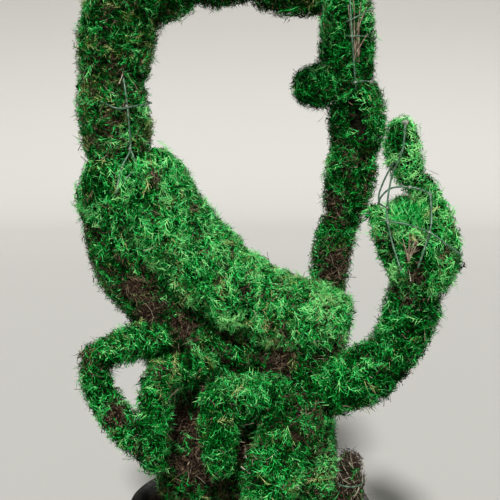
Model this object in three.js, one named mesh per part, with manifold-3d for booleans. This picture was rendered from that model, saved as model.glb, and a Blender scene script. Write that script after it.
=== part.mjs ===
// Scorpion topiary: a clipped scale-leaf conifer trained over a wire frame, in a plain round pot.
// Millimetres, +Z up, origin at the centre of the pot's flat underside. The scorpion's tail is
// towards -X, its head and claws towards +X, and its near side, with the near claw, towards -Y.
import * as THREE from "three";
import { mergeVertices } from "three/addons/utils/BufferGeometryUtils.js";
import Module from "manifold-3d";

const wasm = await Module();
wasm.setup();

// Clearances and the clipped skin
const CLEAR = 0.4; // between neighbouring pieces
const SKIN = 12; // from a mass's woody core out to its clipped outline
const SKIN_SHARE = 0.15; // the most of a thin limb's girth that its skin takes
const BLUNT = 0.32; // how square a mass's ends are: 1 is an ellipsoid, 0 a cylinder
// Unevenness of a core: each wave's size over the girth, its turns round and along the limb
const LUMPS = [
  { size: 0.045, round: 2, twist: 3, along: 5 },
  { size: 0.027, round: 3, twist: 0, along: 9 },
];
const CORE = { sides: 8, rings: 6 }; // facets of a core
const PLATE_SIDES = 10;
const LEG_CORE = { sides: 7, rings: 5 };

// Sprigs: most are one toothed spray, and some are a three-sided twig that forks into two
const SPRIG = {
  area: 34000, // of clipped surface for each sprig
  least: 2, // on the smallest mass
  sink: 14, // of its root into the core
  length: [40, 52],
  halfWidth: 18,
  halfThick: 3.5,
  ridgeAt: 0.3, // the thickest place, as a share of the length
  toothAt: 0.5,
  skew: 0.16, // how unevenly the two teeth sit
  notch: [0.35, 0.62], // width and height of the notch over each tooth
  twig: { radius: 5.5, sides: 3 },
  forkShare: 0.2, // of sprigs that fork
  fork: 0.5, // radians from the twig to each of its two sprays
  forkRise: [0.2, 0.34], // where the two sprays leave the twig
  forkTwig: 0.8, // a forked twig's length, as a share of a sprig's
  forkSpray: 0.75,
  reach: 0.94, // how far towards a mass's ends sprigs stand
  stray: { pole: 0.03, turn: 0.4 }, // off their even spacing
  lean: [0.42, 0.98], // towards the mass's growing end
  endLean: 0.8, // more of it near the ends
};

// The pot, its soil and the stem that stands in it
const POT = { height: 300, foot: 340, rim: 430, wall: 26, base: 28, band: 46, bandOut: 12, sides: 36 };
const SOIL = { edgeDrop: 26, crown: 322, flat: 130, rings: 4, heap: 34, heapAt: 2.5 };
const STEM = { top: 560, radius: 38, waist: 48, flare: 74, flareHeight: 70, lean: 22, sides: 10 };

// Rods of the frame. Each is a smooth line through places where it shows, its ends sunk in foliage.
const ROD = { radius: 3, sides: 4, pitch: 24 }; // pitch: about how far apart its sections are
const KNOT = { at: [491, -288, 1676], radius: 9, sides: 7, rings: 5 };
const RODS = {
  near_claw_cage: [
    [
      [490, -286, 1679], [482, -294, 1600], [453, -281, 1510], [438, -287, 1405], [447, -312, 1320],
      [475, -362, 1215],
    ],
    [[484, -293, 1597], [447, -256, 1526], [419, -247, 1455], [416, -256, 1415]],
    [
      [455, -250, 1398], [416, -260, 1424], [447, -284, 1468], [507, -303, 1474], [560, -309, 1458],
      [580, -292, 1423], [572, -255, 1390],
    ],
    [[570, -304, 1462], [573, -316, 1415], [568, -346, 1352], [541, -391, 1290], [523, -386, 1228]],
    [
      [417, -262, 1364], [440, -297, 1365], [507, -320, 1355], [562, -368, 1336], [613, -381, 1300],
      [672, -330, 1260],
    ],
    [[492, -282, 1680], [520, -190, 1620], [562, -180, 1480], [586, -158, 1370], [576, -118, 1240]],
  ],
  tail_hoop: [
    [
      [-556, -60, 1770], [-494, -134, 1746], [-438, -134, 1724], [-382, -98, 1733], [-344, -18, 1743],
      [-344, 20, 1747],
    ],
    [
      [-343, 10, 1746], [-372, 90, 1752], [-465, 134, 1762], [-560, 92, 1772], [-590, 10, 1776],
      [-548, -70, 1768],
    ],
    [
      [-432, -100, 1858], [-417, -120, 1798], [-408, -123, 1729], [-403, -116, 1650], [-403, -114, 1584],
      [-427, -142, 1531], [-442, -187, 1448],
    ],
    [[-404, -113, 1596], [-392, -122, 1568], [-360, -176, 1502]],
    [[-383, -178, 1519], [-413, -201, 1487], [-444, -185, 1443]],
  ],
  far_claw_stay: [
    [
      [357, 158, 2154], [355, 120, 2086], [361, 104, 1981], [369, 106, 1884], [377, 118, 1818],
      [382, 146, 1794],
    ],
    [[338, 134, 2033], [356, 113, 2038], [390, 120, 2055], [441, 166, 2085]],
    [[341, 124, 1983], [361, 105, 1981], [394, 116, 1982], [418, 140, 1983]],
    [[360, 140, 1819], [376, 117, 1820], [409, 131, 1826], [456, 186, 1821]],
  ],
};

// The body: five back plates strung along a bowed line from the tail down to the head
const BACK = {
  rear: [-347, 0, 1413],
  front: [99, 0, 1005],
  bow: [-42, 0, -30],
  plates: 5,
  reach: 148, // half the length of one plate
  thick: [166, 160, 150], // half thickness of the first, middle and last plate
  broad: [1.32, 1.42, 1.36], // half width over half thickness
  ends: [0.9, 0.82], // a plate's thickness at its two ends, over its middle's
};

// A limb runs from one place to another. bow moves its middle off the straight line, girth is its
// half thickness at the start, middle and end, and broad is its half width along Y over its girth.
const LIMBS = {
  rump: { from: [-465, 0, 1560], to: [-441, 0, 1285], girth: [122, 154, 150], broad: 1.15 },
  belly_rear: {
    from: [-490, 0, 1405], to: [-302, 0, 990], bow: [-36, 0, -4],
    girth: [112, 128, 120], broad: 1.2,
  },
  belly_middle: {
    from: [-385, 0, 1080], to: [-60, 0, 865], bow: [-5, 0, -20],
    girth: [112, 126, 112], broad: 1.25,
  },
  belly_front: {
    from: [-145, 0, 900], to: [175, 0, 820], bow: [0, 0, -8],
    girth: [106, 104, 90], broad: 1.35,
  },
  head: { from: [50, -10, 1012], to: [352, -42, 955], girth: [134, 149, 138], broad: 1.22 },
  jaw: { from: [55, -40, 860], to: [300, -78, 825], girth: [86, 96, 80], broad: 1.3 },

  tail_1: { from: [-453, 0, 1480], to: [-486, 0, 1905], girth: [110, 134, 117] },
  tail_2: { from: [-476, 0, 1785], to: [-432, 0, 2165], girth: [117, 141, 110] },
  tail_3: { from: [-478, 0, 2096], to: [-190, 0, 2178], girth: [112, 146, 113] },
  tail_4: { from: [-268, 0, 2172], to: [66, 0, 2186], bow: [0, 0, 8], girth: [112, 122, 110] },
  sting: { from: [-5, 0, 2188], to: [240, -4, 2040], bow: [24, 0, 22], girth: [104, 114, 20] },

  near_arm_lower: {
    from: [165, -150, 738], to: [486, -238, 914], bow: [12, 0, -14],
    girth: [96, 108, 98],
  },
  near_arm_upper: {
    from: [436, -232, 856], to: [549, -260, 1195], bow: [22, -2, -10],
    girth: [98, 96, 96],
  },
  near_claw_palm: { from: [548, -260, 1118], to: [572, -260, 1345], girth: [92, 128, 126] },
  near_claw_side: {
    from: [646, -250, 1180], to: [531, -248, 1520], bow: [21, 0, 0],
    girth: [62, 63, 46],
  },
  near_claw_tip: {
    from: [562, -248, 1445], to: [497, -240, 1690], bow: [-34, 0, 0],
    girth: [44, 67, 52],
  },
  near_claw_back: {
    from: [515, -160, 1200], to: [520, -168, 1436],
    girth: [88, 92, 64], broad: 0.55,
  },
  near_claw_thumb: {
    from: [480, -262, 1200], to: [404, -252, 1420], bow: [-8, 0, 0],
    girth: [46, 44, 28],
  },

  far_arm_lower: {
    from: [288, 98, 985], to: [343, 212, 1345], bow: [-16, 6, 0],
    girth: [60, 82, 85],
  },
  far_arm_upper: {
    from: [343, 208, 1270], to: [392, 220, 1640], bow: [2, 0, 0],
    girth: [72, 99, 98],
  },
  far_claw_palm: {
    from: [394, 220, 1540], to: [393, 220, 1835], bow: [2, 0, 0],
    girth: [97, 111, 99],
  },
  far_claw_finger: {
    from: [370, 218, 1745], to: [372, 220, 2310], bow: [-18, 0, 0],
    girth: [102, 106, 34],
  },
  far_claw_thumb: { from: [358, 208, 1820], to: [160, 196, 1806], girth: [88, 92, 69] },

  foot_middle: { from: [-10, 0, 296], to: [-30, -20, 850], girth: [200, 196, 150], broad: 1.02 },
  foot_left: { from: [-215, -30, 296], to: [-212, -60, 740], girth: [130, 120, 84] },
  foot_right: { from: [208, -30, 296], to: [190, -50, 760], girth: [124, 118, 84] },
  foot_back: { from: [-10, 215, 296], to: [-40, 170, 720], girth: [190, 180, 120], broad: 0.66 },
  foot_front: { from: [230, -195, 310], to: [226, -196, 660], girth: [68, 70, 60] },
};

// The four near legs, from the tail end to the head end. Each arches out over its knee.
const LEGS = [
  {
    thigh: { from: [-218, -136, 914], to: [-534, -282, 892], bow: [0, 0, 45], girth: [62, 67, 65] },
    shin: {
      from: [-502, -276, 948], to: [-302, -246, 560], bow: [-75, -6, 2],
      girth: [55, 65, 66],
    },
  },
  {
    thigh: { from: [-108, -128, 852], to: [-332, -276, 834], bow: [0, 0, 14], girth: [60, 62, 58] },
    shin: {
      from: [-302, -264, 866], to: [-314, -262, 516], bow: [-14, -6, 0],
      girth: [58, 63, 54],
    },
  },
  {
    thigh: { from: [135, -140, 738], to: [-148, -292, 746], bow: [0, 0, 16], girth: [80, 90, 78] },
    shin: { from: [-98, -290, 812], to: [-92, -282, 520], bow: [-10, -6, 0], girth: [72, 70, 54] },
  },
  {
    thigh: { from: [246, -145, 712], to: [66, -304, 640], bow: [8, 0, 8], girth: [84, 102, 92] },
    shin: { from: [112, -292, 700], to: [44, -288, 345], bow: [0, -8, 0], girth: [92, 98, 88] },
  },
];
// The far legs are the near ones seen in a mirror, drawn in towards the middle of the belly
const FAR_LEGS = { squeeze: 0.8, shift: 55 };

// A knob of dead, bare twigs beside the front foot
const KNOB = { from: [338, -140, 260], to: [350, -150, 545], girth: [50, 58, 40] };

// The wire that still binds the bare knob
const KNOB_WIRE = { at: [345, -146, 440], radius: 50, sides: 16, tilt: 0.08 };

// Places where the clipped skin is broken open
const HOLLOWS = {
  near_claw_palm: { at: [508, -362, 1296], size: [38, 58, 60] },
  far_claw_palm: { at: [390, 118, 1690], size: [46, 62, 84] },
  far_claw_finger: { at: [404, 128, 1962], size: [27, 46, 58] },
};
const HOLLOW_CORE = { sides: 9, rings: 6 };

// Bare wood in the far claw's hollow and in the near claw's cage
const BARE_STEM = { foot: 7, head: 5.6, sides: 7, at: [387, 142], from: 1892, to: 2032 };
const BARE_TWIGS = {
  root: [500, -352, 1238],
  radius: 6,
  sides: 5,
  twigs: [
    { rise: 0, lean: 0, length: 92 },
    { rise: 6, lean: -16, length: 75 },
    { rise: 4, lean: 14, length: 81 },
    { rise: 8, lean: 26, length: 70 },
  ],
};

const COLOURS = {
  leaf: 0x1f6b34,
  leafDeep: 0x124022,
  leafBright: 0x4f9a4a,
  dead: 0x5d4a3c,
  wood: 0x8b7a66,
  rod: 0x27452f,
  pot: 0x3c3b39,
  soil: 0x2b231d,
};

// Numbers

function seeded(text) {
  let state = 2166136261;
  for (const letter of text) state = Math.imul(state ^ letter.charCodeAt(0), 16777619);
  return () => {
    state = (state + 0x6d2b79f5) | 0;
    let t = Math.imul(state ^ (state >>> 15), state | 1);
    t ^= t + Math.imul(t ^ (t >>> 7), t | 61);
    return ((t ^ (t >>> 14)) >>> 0) / 4294967296;
  };
}

// The value at t of the smooth curve through three evenly spaced values
function through([a, b, c], t) {
  return a * (1 - t) * (1 - 2 * t) + 4 * b * t * (1 - t) + c * t * (2 * t - 1);
}

const vec = (place) => new THREE.Vector3(...place);

// Solids from three.js geometries, and back

function solidOf(geometry) {
  const bare = geometry.clone();
  for (const name of Object.keys(bare.attributes)) if (name !== "position") bare.deleteAttribute(name);
  const merged = mergeVertices(bare, 1e-4);
  const corners = merged.attributes.position;
  const triVerts = new Uint32Array(merged.index.array);
  if (signedVolume(corners, triVerts) < 0) {
    for (let i = 0; i < triVerts.length; i += 3) {
      [triVerts[i + 1], triVerts[i + 2]] = [triVerts[i + 2], triVerts[i + 1]];
    }
  }
  return new wasm.Manifold(new wasm.Mesh({ numProp: 3, vertProperties: corners.array, triVerts }));
}

function signedVolume(corners, triVerts) {
  const [a, b, c] = [new THREE.Vector3(), new THREE.Vector3(), new THREE.Vector3()];
  let sum = 0;
  for (let i = 0; i < triVerts.length; i += 3) {
    a.fromBufferAttribute(corners, triVerts[i]);
    b.fromBufferAttribute(corners, triVerts[i + 1]);
    c.fromBufferAttribute(corners, triVerts[i + 2]);
    sum += a.dot(b.cross(c));
  }
  return sum;
}

function geometryOf(solid) {
  const mesh = solid.getMesh();
  const corners = new Float32Array(mesh.vertProperties);
  const geometry = new THREE.BufferGeometry();
  geometry.setAttribute("position", new THREE.BufferAttribute(corners, 3));
  geometry.setIndex(new THREE.BufferAttribute(new Uint32Array(mesh.triVerts), 1));
  geometry.computeVertexNormals();
  return geometry;
}

const joined = (solids) => solids.reduce((all, next) => all.add(next));

// The largest single body of a solid, without loose scraps or sealed hollows
function wholePiece(solid) {
  return solid.decompose().reduce((a, b) => (b.volume() > a.volume() ? b : a));
}

function boxesMeet(a, b) {
  const [p, q] = [a.boundingBox(), b.boundingBox()];
  return [0, 1, 2].every((i) => p.min[i] < q.max[i] && q.min[i] < p.max[i]);
}

const touches = (a, b) => boxesMeet(a, b) && !a.intersect(b).isEmpty();

// Limbs and masses

function spineOf(limb) {
  const [start, end] = [vec(limb.from), vec(limb.to)];
  const middle = start.clone().add(end).multiplyScalar(0.5);
  const pull = middle.addScaledVector(vec(limb.bow ?? [0, 0, 0]), 2);
  return new THREE.QuadraticBezierCurve3(start, pull, end);
}

// A function that takes a direction on a unit sphere to the place and growth direction on a limb's
// core, let out by grow. The sphere's poles go to the limb's ends.
function skinOf(name, limb) {
  const spine = spineOf(limb);
  const random = seeded(name);
  const phases = [random(), random(), random(), random()].map((share) => share * 2 * Math.PI);
  const across = new THREE.Vector3(0, 1, 0);
  return (pole, turn, grow) => {
    const t = (1 + pole) / 2;
    const along = spine.getTangent(t);
    const side = across.clone().addScaledVector(along, -across.dot(along)).normalize();
    const up = new THREE.Vector3().crossVectors(along, side);
    const girth = through(limb.girth, t);
    const inset = Math.min(SKIN, SKIN_SHARE * girth);
    const waves = LUMPS.map(({ size, round, twist, along: rate }, i) => {
      const around = Math.sin(round * turn + phases[2 * i] + twist * t);
      return size * around * Math.sin(rate * t + phases[2 * i + 1]);
    });
    const uneven = 1 + waves[0] + waves[1];
    const roundness = Math.max(1 - pole * pole, 0) ** (BLUNT / 2);
    const radius = (girth * uneven - inset) * roundness + (roundness > 0 ? grow : 0);
    const wide = radius * (limb.broad ?? 1);
    const out = up.multiplyScalar(radius * Math.cos(turn)).addScaledVector(side, wide * Math.sin(turn));
    const place = spine.getPoint(t).add(out);
    place.addScaledVector(along, pole * (grow - inset * Math.abs(pole)));
    return { place, along, out: out.clone().normalize() };
  };
}

function coreOf(name, limb, grow) {
  const skin = skinOf(name, limb);
  const { sides, rings } = { ...CORE, ...limb };
  const geometry = new THREE.SphereGeometry(1, sides, rings);
  const corners = geometry.attributes.position;
  const point = new THREE.Vector3();
  for (let i = 0; i < corners.count; i++) {
    point.fromBufferAttribute(corners, i);
    const pole = THREE.MathUtils.clamp(point.y, -1, 1);
    const atPole = 1 - Math.abs(pole) < 1e-6;
    const turn = atPole ? 0 : Math.atan2(point.z, point.x);
    const { place } = skin(atPole ? Math.sign(pole) : pole, turn, grow);
    corners.setXYZ(i, place.x, place.y, place.z);
  }
  return solidOf(geometry);
}

// One spray: a blade with a point and a tooth on each side, its pointed root below the origin.
// It points along +Z and is flat across Y.
function sprayGeometry(length, skew) {
  const { sink, halfWidth, halfThick, notch } = SPRIG;
  const ridge = SPRIG.ridgeAt * length;
  const outline = [
    [0, -sink],
    [-halfWidth, (SPRIG.toothAt - skew) * length],
    [-notch[0] * halfWidth, notch[1] * length],
    [0, length],
    [notch[0] * halfWidth, notch[1] * length],
    [halfWidth, (SPRIG.toothAt + skew) * length],
  ];
  const corners = outline.map(([x, z]) => [x, 0, z]);
  const front = corners.push([0, halfThick, ridge]) - 1;
  const back = corners.push([0, -halfThick, ridge]) - 1;
  const faces = outline.flatMap((_, i) => {
    const next = (i + 1) % outline.length;
    return [front, next, i, back, i, next];
  });
  const geometry = new THREE.BufferGeometry();
  geometry.setAttribute("position", new THREE.Float32BufferAttribute(corners.flat(), 3));
  return geometry.setIndex(faces);
}

function twigGeometry(length) {
  const { sink, twig } = SPRIG;
  const whole = length + sink;
  const cone = new THREE.ConeGeometry(twig.radius, whole, twig.sides).rotateX(Math.PI / 2);
  return cone.translate(0, 0, whole / 2 - sink);
}

// A sprig stands on a core at its root and points along aim
function sprigSolid(root, aim, bare, random) {
  const up = new THREE.Vector3(0, 0, 1);
  const spin = new THREE.Quaternion().setFromAxisAngle(up, random() * Math.PI);
  const turned = new THREE.Quaternion().setFromUnitVectors(up, aim).multiply(spin);
  const place = new THREE.Matrix4().makeRotationFromQuaternion(turned).setPosition(root);
  const length = THREE.MathUtils.lerp(...SPRIG.length, random());
  const skew = SPRIG.skew * (random() - 0.5);
  const pieces = [];
  if (bare) pieces.push(twigGeometry(length));
  else if (random() > SPRIG.forkShare) pieces.push(sprayGeometry(length, skew));
  else {
    pieces.push(twigGeometry(SPRIG.forkTwig * length));
    SPRIG.forkRise.forEach((rise, i) => {
      const spray = sprayGeometry(SPRIG.forkSpray * length, skew).rotateY((2 * i - 1) * SPRIG.fork);
      pieces.push(spray.translate(0, 0, rise * length));
    });
  }
  return joined(pieces.map((piece) => solidOf(piece.applyMatrix4(place))));
}

function surfaceArea(limb) {
  const [start, middle, end] = limb.girth;
  const length = spineOf(limb).getLength();
  return ((Math.PI * (1 + (limb.broad ?? 1)) * (start + 4 * middle + end)) / 6) * length;
}

// Sprigs spaced evenly over a mass, each kept only where it stays in the mass's own space
function sprigsOf(name, mass, blockers) {
  const random = seeded(name + " sprigs");
  const skin = skinOf(name, mass.limb);
  const count = Math.max(SPRIG.least, Math.round(surfaceArea(mass.limb) / SPRIG.area));
  const golden = Math.PI * (3 - Math.sqrt(5));
  const kept = [];
  for (let i = 0; i < count; i++) {
    const even = 1 - (2 * (i + 0.5)) / count;
    const pole = SPRIG.reach * even + SPRIG.stray.pole * (random() - 0.5);
    const turn = i * golden + SPRIG.stray.turn * (random() - 0.5);
    const { place, along, out } = skin(pole, turn, 0);
    const lean = THREE.MathUtils.lerp(...SPRIG.lean, random()) + SPRIG.endLean * pole ** 3;
    const aim = out.addScaledVector(along, lean).normalize();
    const sprig = sprigSolid(place, aim, mass.bare, random);
    if (!touches(sprig, mass.core)) continue;
    if (blockers.some((blocker) => touches(sprig, blocker))) continue;
    kept.push(sprig);
  }
  return kept;
}

// The pot, the soil and the stem

function lathe(profile, sides) {
  const points = profile.map(([radius, height]) => new THREE.Vector2(radius, height));
  return new THREE.LatheGeometry(points, sides).rotateX(Math.PI / 2);
}

const potRadius = (height) => POT.foot + ((POT.rim - POT.foot) * height) / POT.height;

function potSolid(grow) {
  const bandFoot = POT.height - POT.band;
  const profile = [
    [0, 0],
    [POT.foot, 0],
    [potRadius(bandFoot), bandFoot],
    [potRadius(bandFoot) + POT.bandOut, bandFoot + POT.bandOut],
    [POT.rim + POT.bandOut + grow, POT.height + grow],
    [POT.rim - POT.wall - grow, POT.height + grow],
    [potRadius(POT.base) - POT.wall - grow, POT.base + grow],
    [0, POT.base + grow],
  ];
  return solidOf(lathe(profile, POT.sides));
}

// The soil fills the pot and is heaped a little towards the back left
function soilSolid(grow) {
  const inside = (height) => potRadius(height) - POT.wall - CLEAR + grow;
  const edge = POT.height - SOIL.edgeDrop;
  const profile = [[0, POT.base + CLEAR], [inside(POT.base + CLEAR), POT.base + CLEAR]];
  for (let i = 0; i <= SOIL.rings; i++) {
    const share = i / SOIL.rings;
    const radius = THREE.MathUtils.lerp(inside(edge), SOIL.flat, share);
    const rise = Math.sin((share * Math.PI) / 2);
    profile.push([radius, THREE.MathUtils.lerp(edge, SOIL.crown, rise) + grow]);
  }
  profile.push([0, SOIL.crown + grow]);
  const geometry = lathe(profile, POT.sides);
  const corners = geometry.attributes.position;
  for (let i = 0; i < corners.count; i++) {
    const [x, y, z] = [corners.getX(i), corners.getY(i), corners.getZ(i)];
    const radius = Math.hypot(x, y);
    if (z < edge - 1 || radius < SOIL.flat + 1) continue;
    const share = (inside(edge) - radius) / (inside(edge) - SOIL.flat);
    const facing = 0.5 + 0.5 * Math.cos(Math.atan2(y, x) - SOIL.heapAt);
    corners.setZ(i, z + SOIL.heap * facing * Math.sin(share * Math.PI));
  }
  return solidOf(geometry);
}

function stemSolid(grow) {
  const foot = SOIL.crown + CLEAR;
  const geometry = lathe(
    [
      [0, foot - grow],
      [STEM.flare + grow, foot - grow],
      [STEM.waist + grow, foot + STEM.flareHeight],
      [STEM.radius + grow, STEM.top + grow],
      [0, STEM.top + grow],
    ],
    STEM.sides,
  );
  const corners = geometry.attributes.position;
  for (let i = 0; i < corners.count; i++) {
    const rise = (corners.getZ(i) - foot) / (STEM.top - foot);
    corners.setX(i, corners.getX(i) - STEM.lean * Math.max(rise, 0));
  }
  return solidOf(geometry);
}

// Rods

function rodGeometry(curve, steps, grow) {
  const corners = [];
  for (let i = 0; i < ROD.sides; i++) {
    const turn = (i * 2 * Math.PI) / ROD.sides;
    corners.push(new THREE.Vector2(Math.cos(turn), Math.sin(turn)).multiplyScalar(ROD.radius + grow));
  }
  return new THREE.ExtrudeGeometry(new THREE.Shape(corners), { steps, extrudePath: curve });
}

function rod(places, grow) {
  const curve = new THREE.CatmullRomCurve3(places.map(vec));
  return solidOf(rodGeometry(curve, Math.ceil(curve.getLength() / ROD.pitch), grow));
}

const rodsSolid = (name, grow) => joined(RODS[name].map((places) => rod(places, grow)));

function cageSolid(grow) {
  const { at, radius, sides, rings } = KNOT;
  const knot = new THREE.SphereGeometry(radius + grow, sides, rings).translate(...at);
  return joined([rodsSolid("near_claw_cage", grow), solidOf(knot)]);
}

function knobWireSolid(grow) {
  const { at, radius, sides, tilt } = KNOB_WIRE;
  const hoop = new THREE.TorusGeometry(radius, ROD.radius + grow, ROD.sides, sides).rotateX(tilt);
  return solidOf(hoop.translate(...at));
}

// Bare wood that shows where the skin is broken

function bareStemSolid(grow) {
  const { foot, head, sides, at, from, to } = BARE_STEM;
  const length = to - from + 2 * grow;
  const stem = new THREE.CylinderGeometry(head + grow, foot + grow, length, sides).rotateX(Math.PI / 2);
  return solidOf(stem.translate(at[0], at[1], (from + to) / 2));
}

function bareTwigsSolid(grow) {
  const { root, radius, sides, twigs } = BARE_TWIGS;
  const cones = twigs.map(({ rise, lean, length }) => {
    const cone = new THREE.ConeGeometry(radius + grow, length, sides).rotateX(Math.PI / 2);
    cone.translate(0, 0, length / 2).rotateY(THREE.MathUtils.degToRad(lean));
    return solidOf(cone.translate(root[0], root[1], root[2] + rise));
  });
  return joined(cones);
}

// Assembly

function mirrored(limb) {
  const across = ([x, y, z]) => [x * FAR_LEGS.squeeze + FAR_LEGS.shift, -y, z];
  const [x, y, z] = limb.bow;
  return { ...limb, from: across(limb.from), to: across(limb.to), bow: [x, -y, z] };
}

function limbsInOrder() {
  const all = new Map();
  const back = spineOf({ from: BACK.rear, to: BACK.front, bow: BACK.bow });
  for (let i = 0; i < BACK.plates; i++) {
    const t = i / (BACK.plates - 1);
    const [centre, along] = [back.getPoint(t), back.getTangent(t)];
    const thick = through(BACK.thick, t);
    all.set(`back_plate_${i + 1}`, {
      from: centre.clone().addScaledVector(along, -BACK.reach).toArray(),
      to: centre.clone().addScaledVector(along, BACK.reach).toArray(),
      girth: [BACK.ends[0] * thick, thick, BACK.ends[1] * thick],
      broad: through(BACK.broad, t),
      sides: PLATE_SIDES,
    });
  }
  for (const [name, limb] of Object.entries(LIMBS)) all.set(name, limb);
  LEGS.forEach((leg, i) => {
    for (const [part, limb] of Object.entries(leg)) {
      all.set(`near_leg_${i + 1}_${part}`, { ...limb, ...LEG_CORE });
      all.set(`far_leg_${i + 1}_${part}`, { ...mirrored(limb), ...LEG_CORE });
    }
  });
  all.set("bare_twig_knob", { ...KNOB, bare: true });
  return all;
}

function hollowSolid({ at, size }) {
  const hollow = new THREE.SphereGeometry(1, HOLLOW_CORE.sides, HOLLOW_CORE.rings);
  return solidOf(hollow.scale(...size).translate(...at));
}

function finish(color, roughness, metalness = 0) {
  return new THREE.MeshStandardMaterial({ color, roughness, metalness });
}

function leafColour(name) {
  if (/^(far|belly|jaw|foot_back)/.test(name)) return COLOURS.leafDeep;
  if (/^(head|near_claw|back_plate_2|back_plate_4)/.test(name)) return COLOURS.leafBright;
  return COLOURS.leaf;
}

const topiary = new THREE.Group();
topiary.name = "potted_scorpion_topiary";

function addPiece(group, name, solid, material) {
  const mesh = new THREE.Mesh(geometryOf(solid), material);
  mesh.name = name;
  group.add(mesh);
}

// Pot, soil and stem
const planter = new THREE.Group();
addPiece(planter, "pot", potSolid(0), finish(COLOURS.pot, 0.8));
addPiece(planter, "soil", soilSolid(0), finish(COLOURS.soil, 1));
addPiece(planter, "stem", stemSolid(0), finish(COLOURS.wood, 0.9));
topiary.add(planter);

// Frame rods and bare wood
const frame = new THREE.Group();
const rodFinish = finish(COLOURS.rod, 0.45, 0.2);
const rodNodes = {
  near_claw_cage: cageSolid,
  tail_hoop: (grow) => rodsSolid("tail_hoop", grow),
  far_claw_stay: (grow) => rodsSolid("far_claw_stay", grow),
  knob_wire: knobWireSolid,
};
for (const [name, make] of Object.entries(rodNodes)) addPiece(frame, name, make(0), rodFinish);
const woodFinish = finish(COLOURS.wood, 0.85);
addPiece(frame, "far_claw_bare_stem", bareStemSolid(0), woodFinish);
topiary.add(frame);

// Masses: each core is cut clear of the pieces before it, then takes its sprigs
const fixedPieces = [
  soilSolid(CLEAR),
  stemSolid(CLEAR),
  potSolid(CLEAR),
  bareTwigsSolid(CLEAR),
  bareStemSolid(CLEAR),
  ...Object.values(rodNodes).map((make) => make(CLEAR)),
];
const masses = new Map();
for (const [name, limb] of limbsInOrder()) {
  let core = coreOf(name, limb, 0);
  if (HOLLOWS[name]) core = core.subtract(hollowSolid(HOLLOWS[name]));
  const cutters = [...fixedPieces, ...[...masses.values()].map((mass) => mass.letOut)];
  for (const cutter of cutters) if (boxesMeet(core, cutter)) core = core.subtract(cutter);
  const letOut = coreOf(name, limb, CLEAR);
  masses.set(name, { limb, letOut, core: wholePiece(core), bare: limb.bare });
}

const foliage = new THREE.Group();
const placed = [];
for (const [name, mass] of masses) {
  const others = [...masses].filter(([other]) => other !== name).map(([, other]) => other.letOut);
  const taken = placed.filter((entry) => entry.name !== name).map((entry) => entry.sprig);
  const sprigs = sprigsOf(name, mass, [...fixedPieces, ...others, ...taken]);
  for (const sprig of sprigs) placed.push({ name, sprig });
  const material = finish(mass.bare ? COLOURS.dead : leafColour(name), 0.8);
  addPiece(foliage, name, wholePiece(joined([mass.core, ...sprigs])), material);
}
addPiece(foliage, "near_claw_bare_twigs", bareTwigsSolid(0), woodFinish);
topiary.add(foliage);

export default topiary;
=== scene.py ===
import itertools
import logging
import math
from collections.abc import Callable
from dataclasses import dataclass, field
from enum import Enum

import bpy
import numpy as np
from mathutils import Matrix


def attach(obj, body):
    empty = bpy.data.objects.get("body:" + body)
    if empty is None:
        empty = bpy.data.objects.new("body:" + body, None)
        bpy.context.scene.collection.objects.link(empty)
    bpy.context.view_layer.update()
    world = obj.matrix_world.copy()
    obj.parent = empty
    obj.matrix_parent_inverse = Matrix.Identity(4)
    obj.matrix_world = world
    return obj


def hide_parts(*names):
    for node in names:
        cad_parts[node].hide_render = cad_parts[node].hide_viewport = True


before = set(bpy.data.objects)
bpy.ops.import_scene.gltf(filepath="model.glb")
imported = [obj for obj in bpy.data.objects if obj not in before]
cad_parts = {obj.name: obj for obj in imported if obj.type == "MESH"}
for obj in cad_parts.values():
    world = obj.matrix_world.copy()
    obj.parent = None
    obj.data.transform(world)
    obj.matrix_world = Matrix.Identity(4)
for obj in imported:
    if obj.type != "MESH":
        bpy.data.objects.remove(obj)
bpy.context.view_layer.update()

log = logging.getLogger("topiary")

MM = 0.001
UP = np.array([0.0, 0.0, 1.0])
ACROSS = np.array([0.0, 1.0, 0.0])
FAR_OFF = 1000.0  # farther than anything that is looked for

Place = tuple[float, float, float]


# Numbers

# The constants of a 32-bit hash of a name, of the stream that starts from it and of the random field
WORD = 0xFFFFFFFF
HALF_WORD = 0xFFFF
HASH_START = 2166136261
HASH_PRIME = 16777619
STREAM_STEP = 0x6D2B79F5
CELL_KEYS = np.array([73856093, 19349663, 83492791])
FIELD_KEY = 2654435761
MIX_KEY = 1274126177


def seeded(text: str) -> Callable[[], float]:
    """A repeatable stream of numbers from 0 to 1 that belongs to a name.

    Args:
        text: the name.

    Returns:
        A function that gives the next number.
    """
    state = HASH_START
    for letter in text:
        state = ((state ^ ord(letter)) * HASH_PRIME) & WORD

    def draw() -> float:
        """The next number.

        Returns:
            A number from 0 up to 1.
        """
        nonlocal state
        state = (state + STREAM_STEP) & WORD
        mixed = ((state ^ (state >> 15)) * (state | 1)) & WORD
        mixed ^= (mixed + (((mixed ^ (mixed >> 7)) * (mixed | 61)) & WORD)) & WORD
        return (mixed ^ (mixed >> 14)) / (WORD + 1)

    return draw


def dice(text: str) -> np.random.Generator:
    """A seeded generator of arrays that belongs to a name."""
    return np.random.default_rng(int(seeded(text)() * WORD))


def unit(rows: np.ndarray) -> np.ndarray:
    """Each row scaled to length 1."""
    return rows / np.maximum(np.linalg.norm(rows, axis=-1, keepdims=True), 1e-9)


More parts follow.
